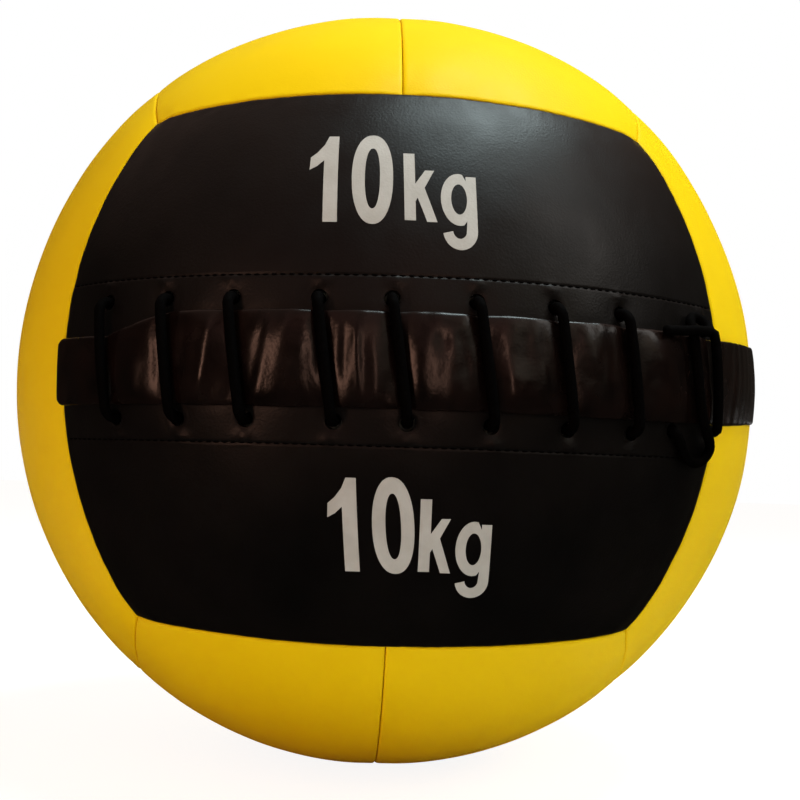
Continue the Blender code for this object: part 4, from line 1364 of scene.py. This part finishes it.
def make_world():
    """White behind the ball for the camera and for reflections, and a dim warm room in front of it."""
    world = bpy.data.worlds.new("studio")
    bpy.context.scene.world = world
    world.use_nodes = True
    white = shining(world, "Background", WHITE, 1)
    direction = node(world, "SeparateXYZ")
    furnished = node(world, "TexNoise", Scale=FURNITURE_SCALE, Detail=1.0)
    for end in (direction, furnished):
        join(world, (places_in(world, "Generated"), end.inputs["Vector"]))
    across, away, up = (direction.outputs[axis] for axis in "XYZ")
    walls = mixed(
        world,
        ranged(world, across, *WALL_CHANGE),
        *(shining(world, "Background", tint, shine) for tint, shine in ROOM_WALLS),
    )
    lit = worked_out(
        world,
        "MULTIPLY",
        ranged(world, up, *BOTTOM_CHANGE),
        ranged(world, across, *LEFT_CHANGE),
        ranged(world, away, *FRONT_CHANGE, 1, 0),
        ranged(world, furnished.outputs["Fac"], *FURNITURE_CHANGE, FURNITURE_SHARE),
    )
    room = mixed(world, lit, shining(world, "Background", ROOM_TINT, ROOM_SHINE), walls)
    ceiling = shining(world, "Background", CEILING_TINT, CEILING_SHINE)
    front = mixed(world, ranged(world, up, *CEILING_CHANGE), room, ceiling)
    reflected = mixed(world, ranged(world, away, *WHITE_CHANGE), front, white)
    ambient = shining(world, "Background", ROOM_TINT, ROOM_LIGHT)
    direct = mixed(world, seen_by(world, "Camera", "Transmission"), ambient, white)
    shown = mixed(world, seen_by(world, "Glossy"), direct, reflected)
    join(world, (shown, world.node_tree.nodes["World Output"].inputs["Surface"]))


def make_stage():
    """A pale floor that the camera sees as white, and that keeps the ball's shadow."""
    floor = primitive("floor", bpy.ops.mesh.primitive_plane_add, size=FLOOR_SIZE)
    made = bpy.data.materials.new("floor")
    made.use_nodes = True
    lit, place = node(made, "AddShader"), node(made, "SeparateXYZ")
    join(
        made,
        (diffuse(made, FLOOR_PALENESS), lit.inputs[0]),
        (shining(made, "Emission", WHITE, FLOOR_GLOW), lit.inputs[1]),
        (places_in(made), place.inputs["Vector"]),
    )
    near, far = shining(made, "Emission", ROOM_TINT, ROOM_SHINE), shining(made, "Emission", WHITE, 1)
    reflected = mixed(made, ranged(made, place.outputs["Y"], *FLOOR_CHANGE), near, far)
    seen = seen_by(made, "Camera", "Transmission")
    direct = mixed(made, seen, diffuse(made, FLOOR_BOUNCE), lit.outputs["Shader"])
    shown = mixed(made, seen_by(made, "Glossy"), direct, reflected)
    join(made, (shown, made.node_tree.nodes["Material Output"].inputs["Surface"]))
    floor.data.materials.append(made)


def make_lamps():
    """Soft area lamps aimed at the ball's centre, each with whether it shines and whether it lights."""
    lamps = (
        ("window", 58, 71, 1.3, (0.8, 0.45), 17, (0.8, 0.98, 1), True, True),
        ("room", 62, 38, 1.5, (0.5, 0.8), 4.5, (1, 0.97, 0.92), True, True),
        ("side_window", 115, 15, 1.8, (1.2, 0.8), 3, (1, 0.96, 0.9), False, True),
        ("doorway", -40, 2, 1.5, (0.25, 0.5), 4, (1, 0.52, 0.36), True, True),
        ("hallway", 9, 2, 1.5, (0.16, 0.45), 1.5, (1, 0.55, 0.4), True, False),
    )
    for name, azimuth, elevation, distance, size, watts, colour, shines, lights in lamps:
        turn, rise = math.radians(azimuth), math.radians(elevation)
        way = Vector((math.sin(turn) * math.cos(rise), -math.cos(turn) * math.cos(rise), math.sin(rise)))
        data = bpy.data.lights.new(name, "AREA")
        data.shape = "RECTANGLE"
        data.size, data.size_y = size
        data.energy = watts
        data.color = colour
        made = placed(name, data)
        made.location = CENTRE + way * distance
        made.rotation_euler = (-way).to_track_quat("-Z", "Y").to_euler()
        made.visible_camera = False
        made.visible_glossy = shines
        made.visible_diffuse = lights


def make_camera():
    """The photograph's view: a little to the left of the ball's front and a little below its middle."""
    data = bpy.data.cameras.new("camera")
    camera = placed("camera", data)
    yaw, pitch, roll = (math.radians(angle) for angle in VIEW_DEGREES)
    turn = Matrix.Rotation(roll, 3, "Y") @ Matrix.Rotation(pitch, 3, "X") @ Matrix.Rotation(yaw, 3, "Z")
    right, forward, up = turn[0], turn[1], turn[2]
    camera.location = CENTRE - forward * VIEW_DISTANCE
    camera.rotation_euler = Matrix((right, up, -forward)).transposed().to_euler()
    data.sensor_width = SENSOR_WIDTH
    data.lens = FOCAL_PIXELS / PICTURE_PIXELS * SENSOR_WIDTH
    data.shift_x = (PICTURE_PIXELS / 2 - MIDDLE_PIXEL[0]) / PICTURE_PIXELS
    data.shift_y = (MIDDLE_PIXEL[1] - PICTURE_PIXELS / 2) / PICTURE_PIXELS
    data.clip_start = 0.01
    bpy.context.scene.camera = camera


def main():
    bpy.context.scene.view_settings.view_transform = "Standard"
    make_camera()
    make_world()
    make_lamps()
    make_stage()
    finishes = make_finishes()
    make_weight(finishes)
    make_wads(finishes["fibre"])
    make_liner(finishes["canvas"])
    punches = make_eyelet_punches()
    fronts = make_panels(finishes, punches)
    make_bands(finishes["webbing"], punches)
    bpy.data.objects.remove(punches)
    make_strip(finishes["strip"])
    make_lace(finishes["lace"])
    make_stitches(finishes["thread"], fronts)
    make_marks(finishes["ink"], fronts)


main()
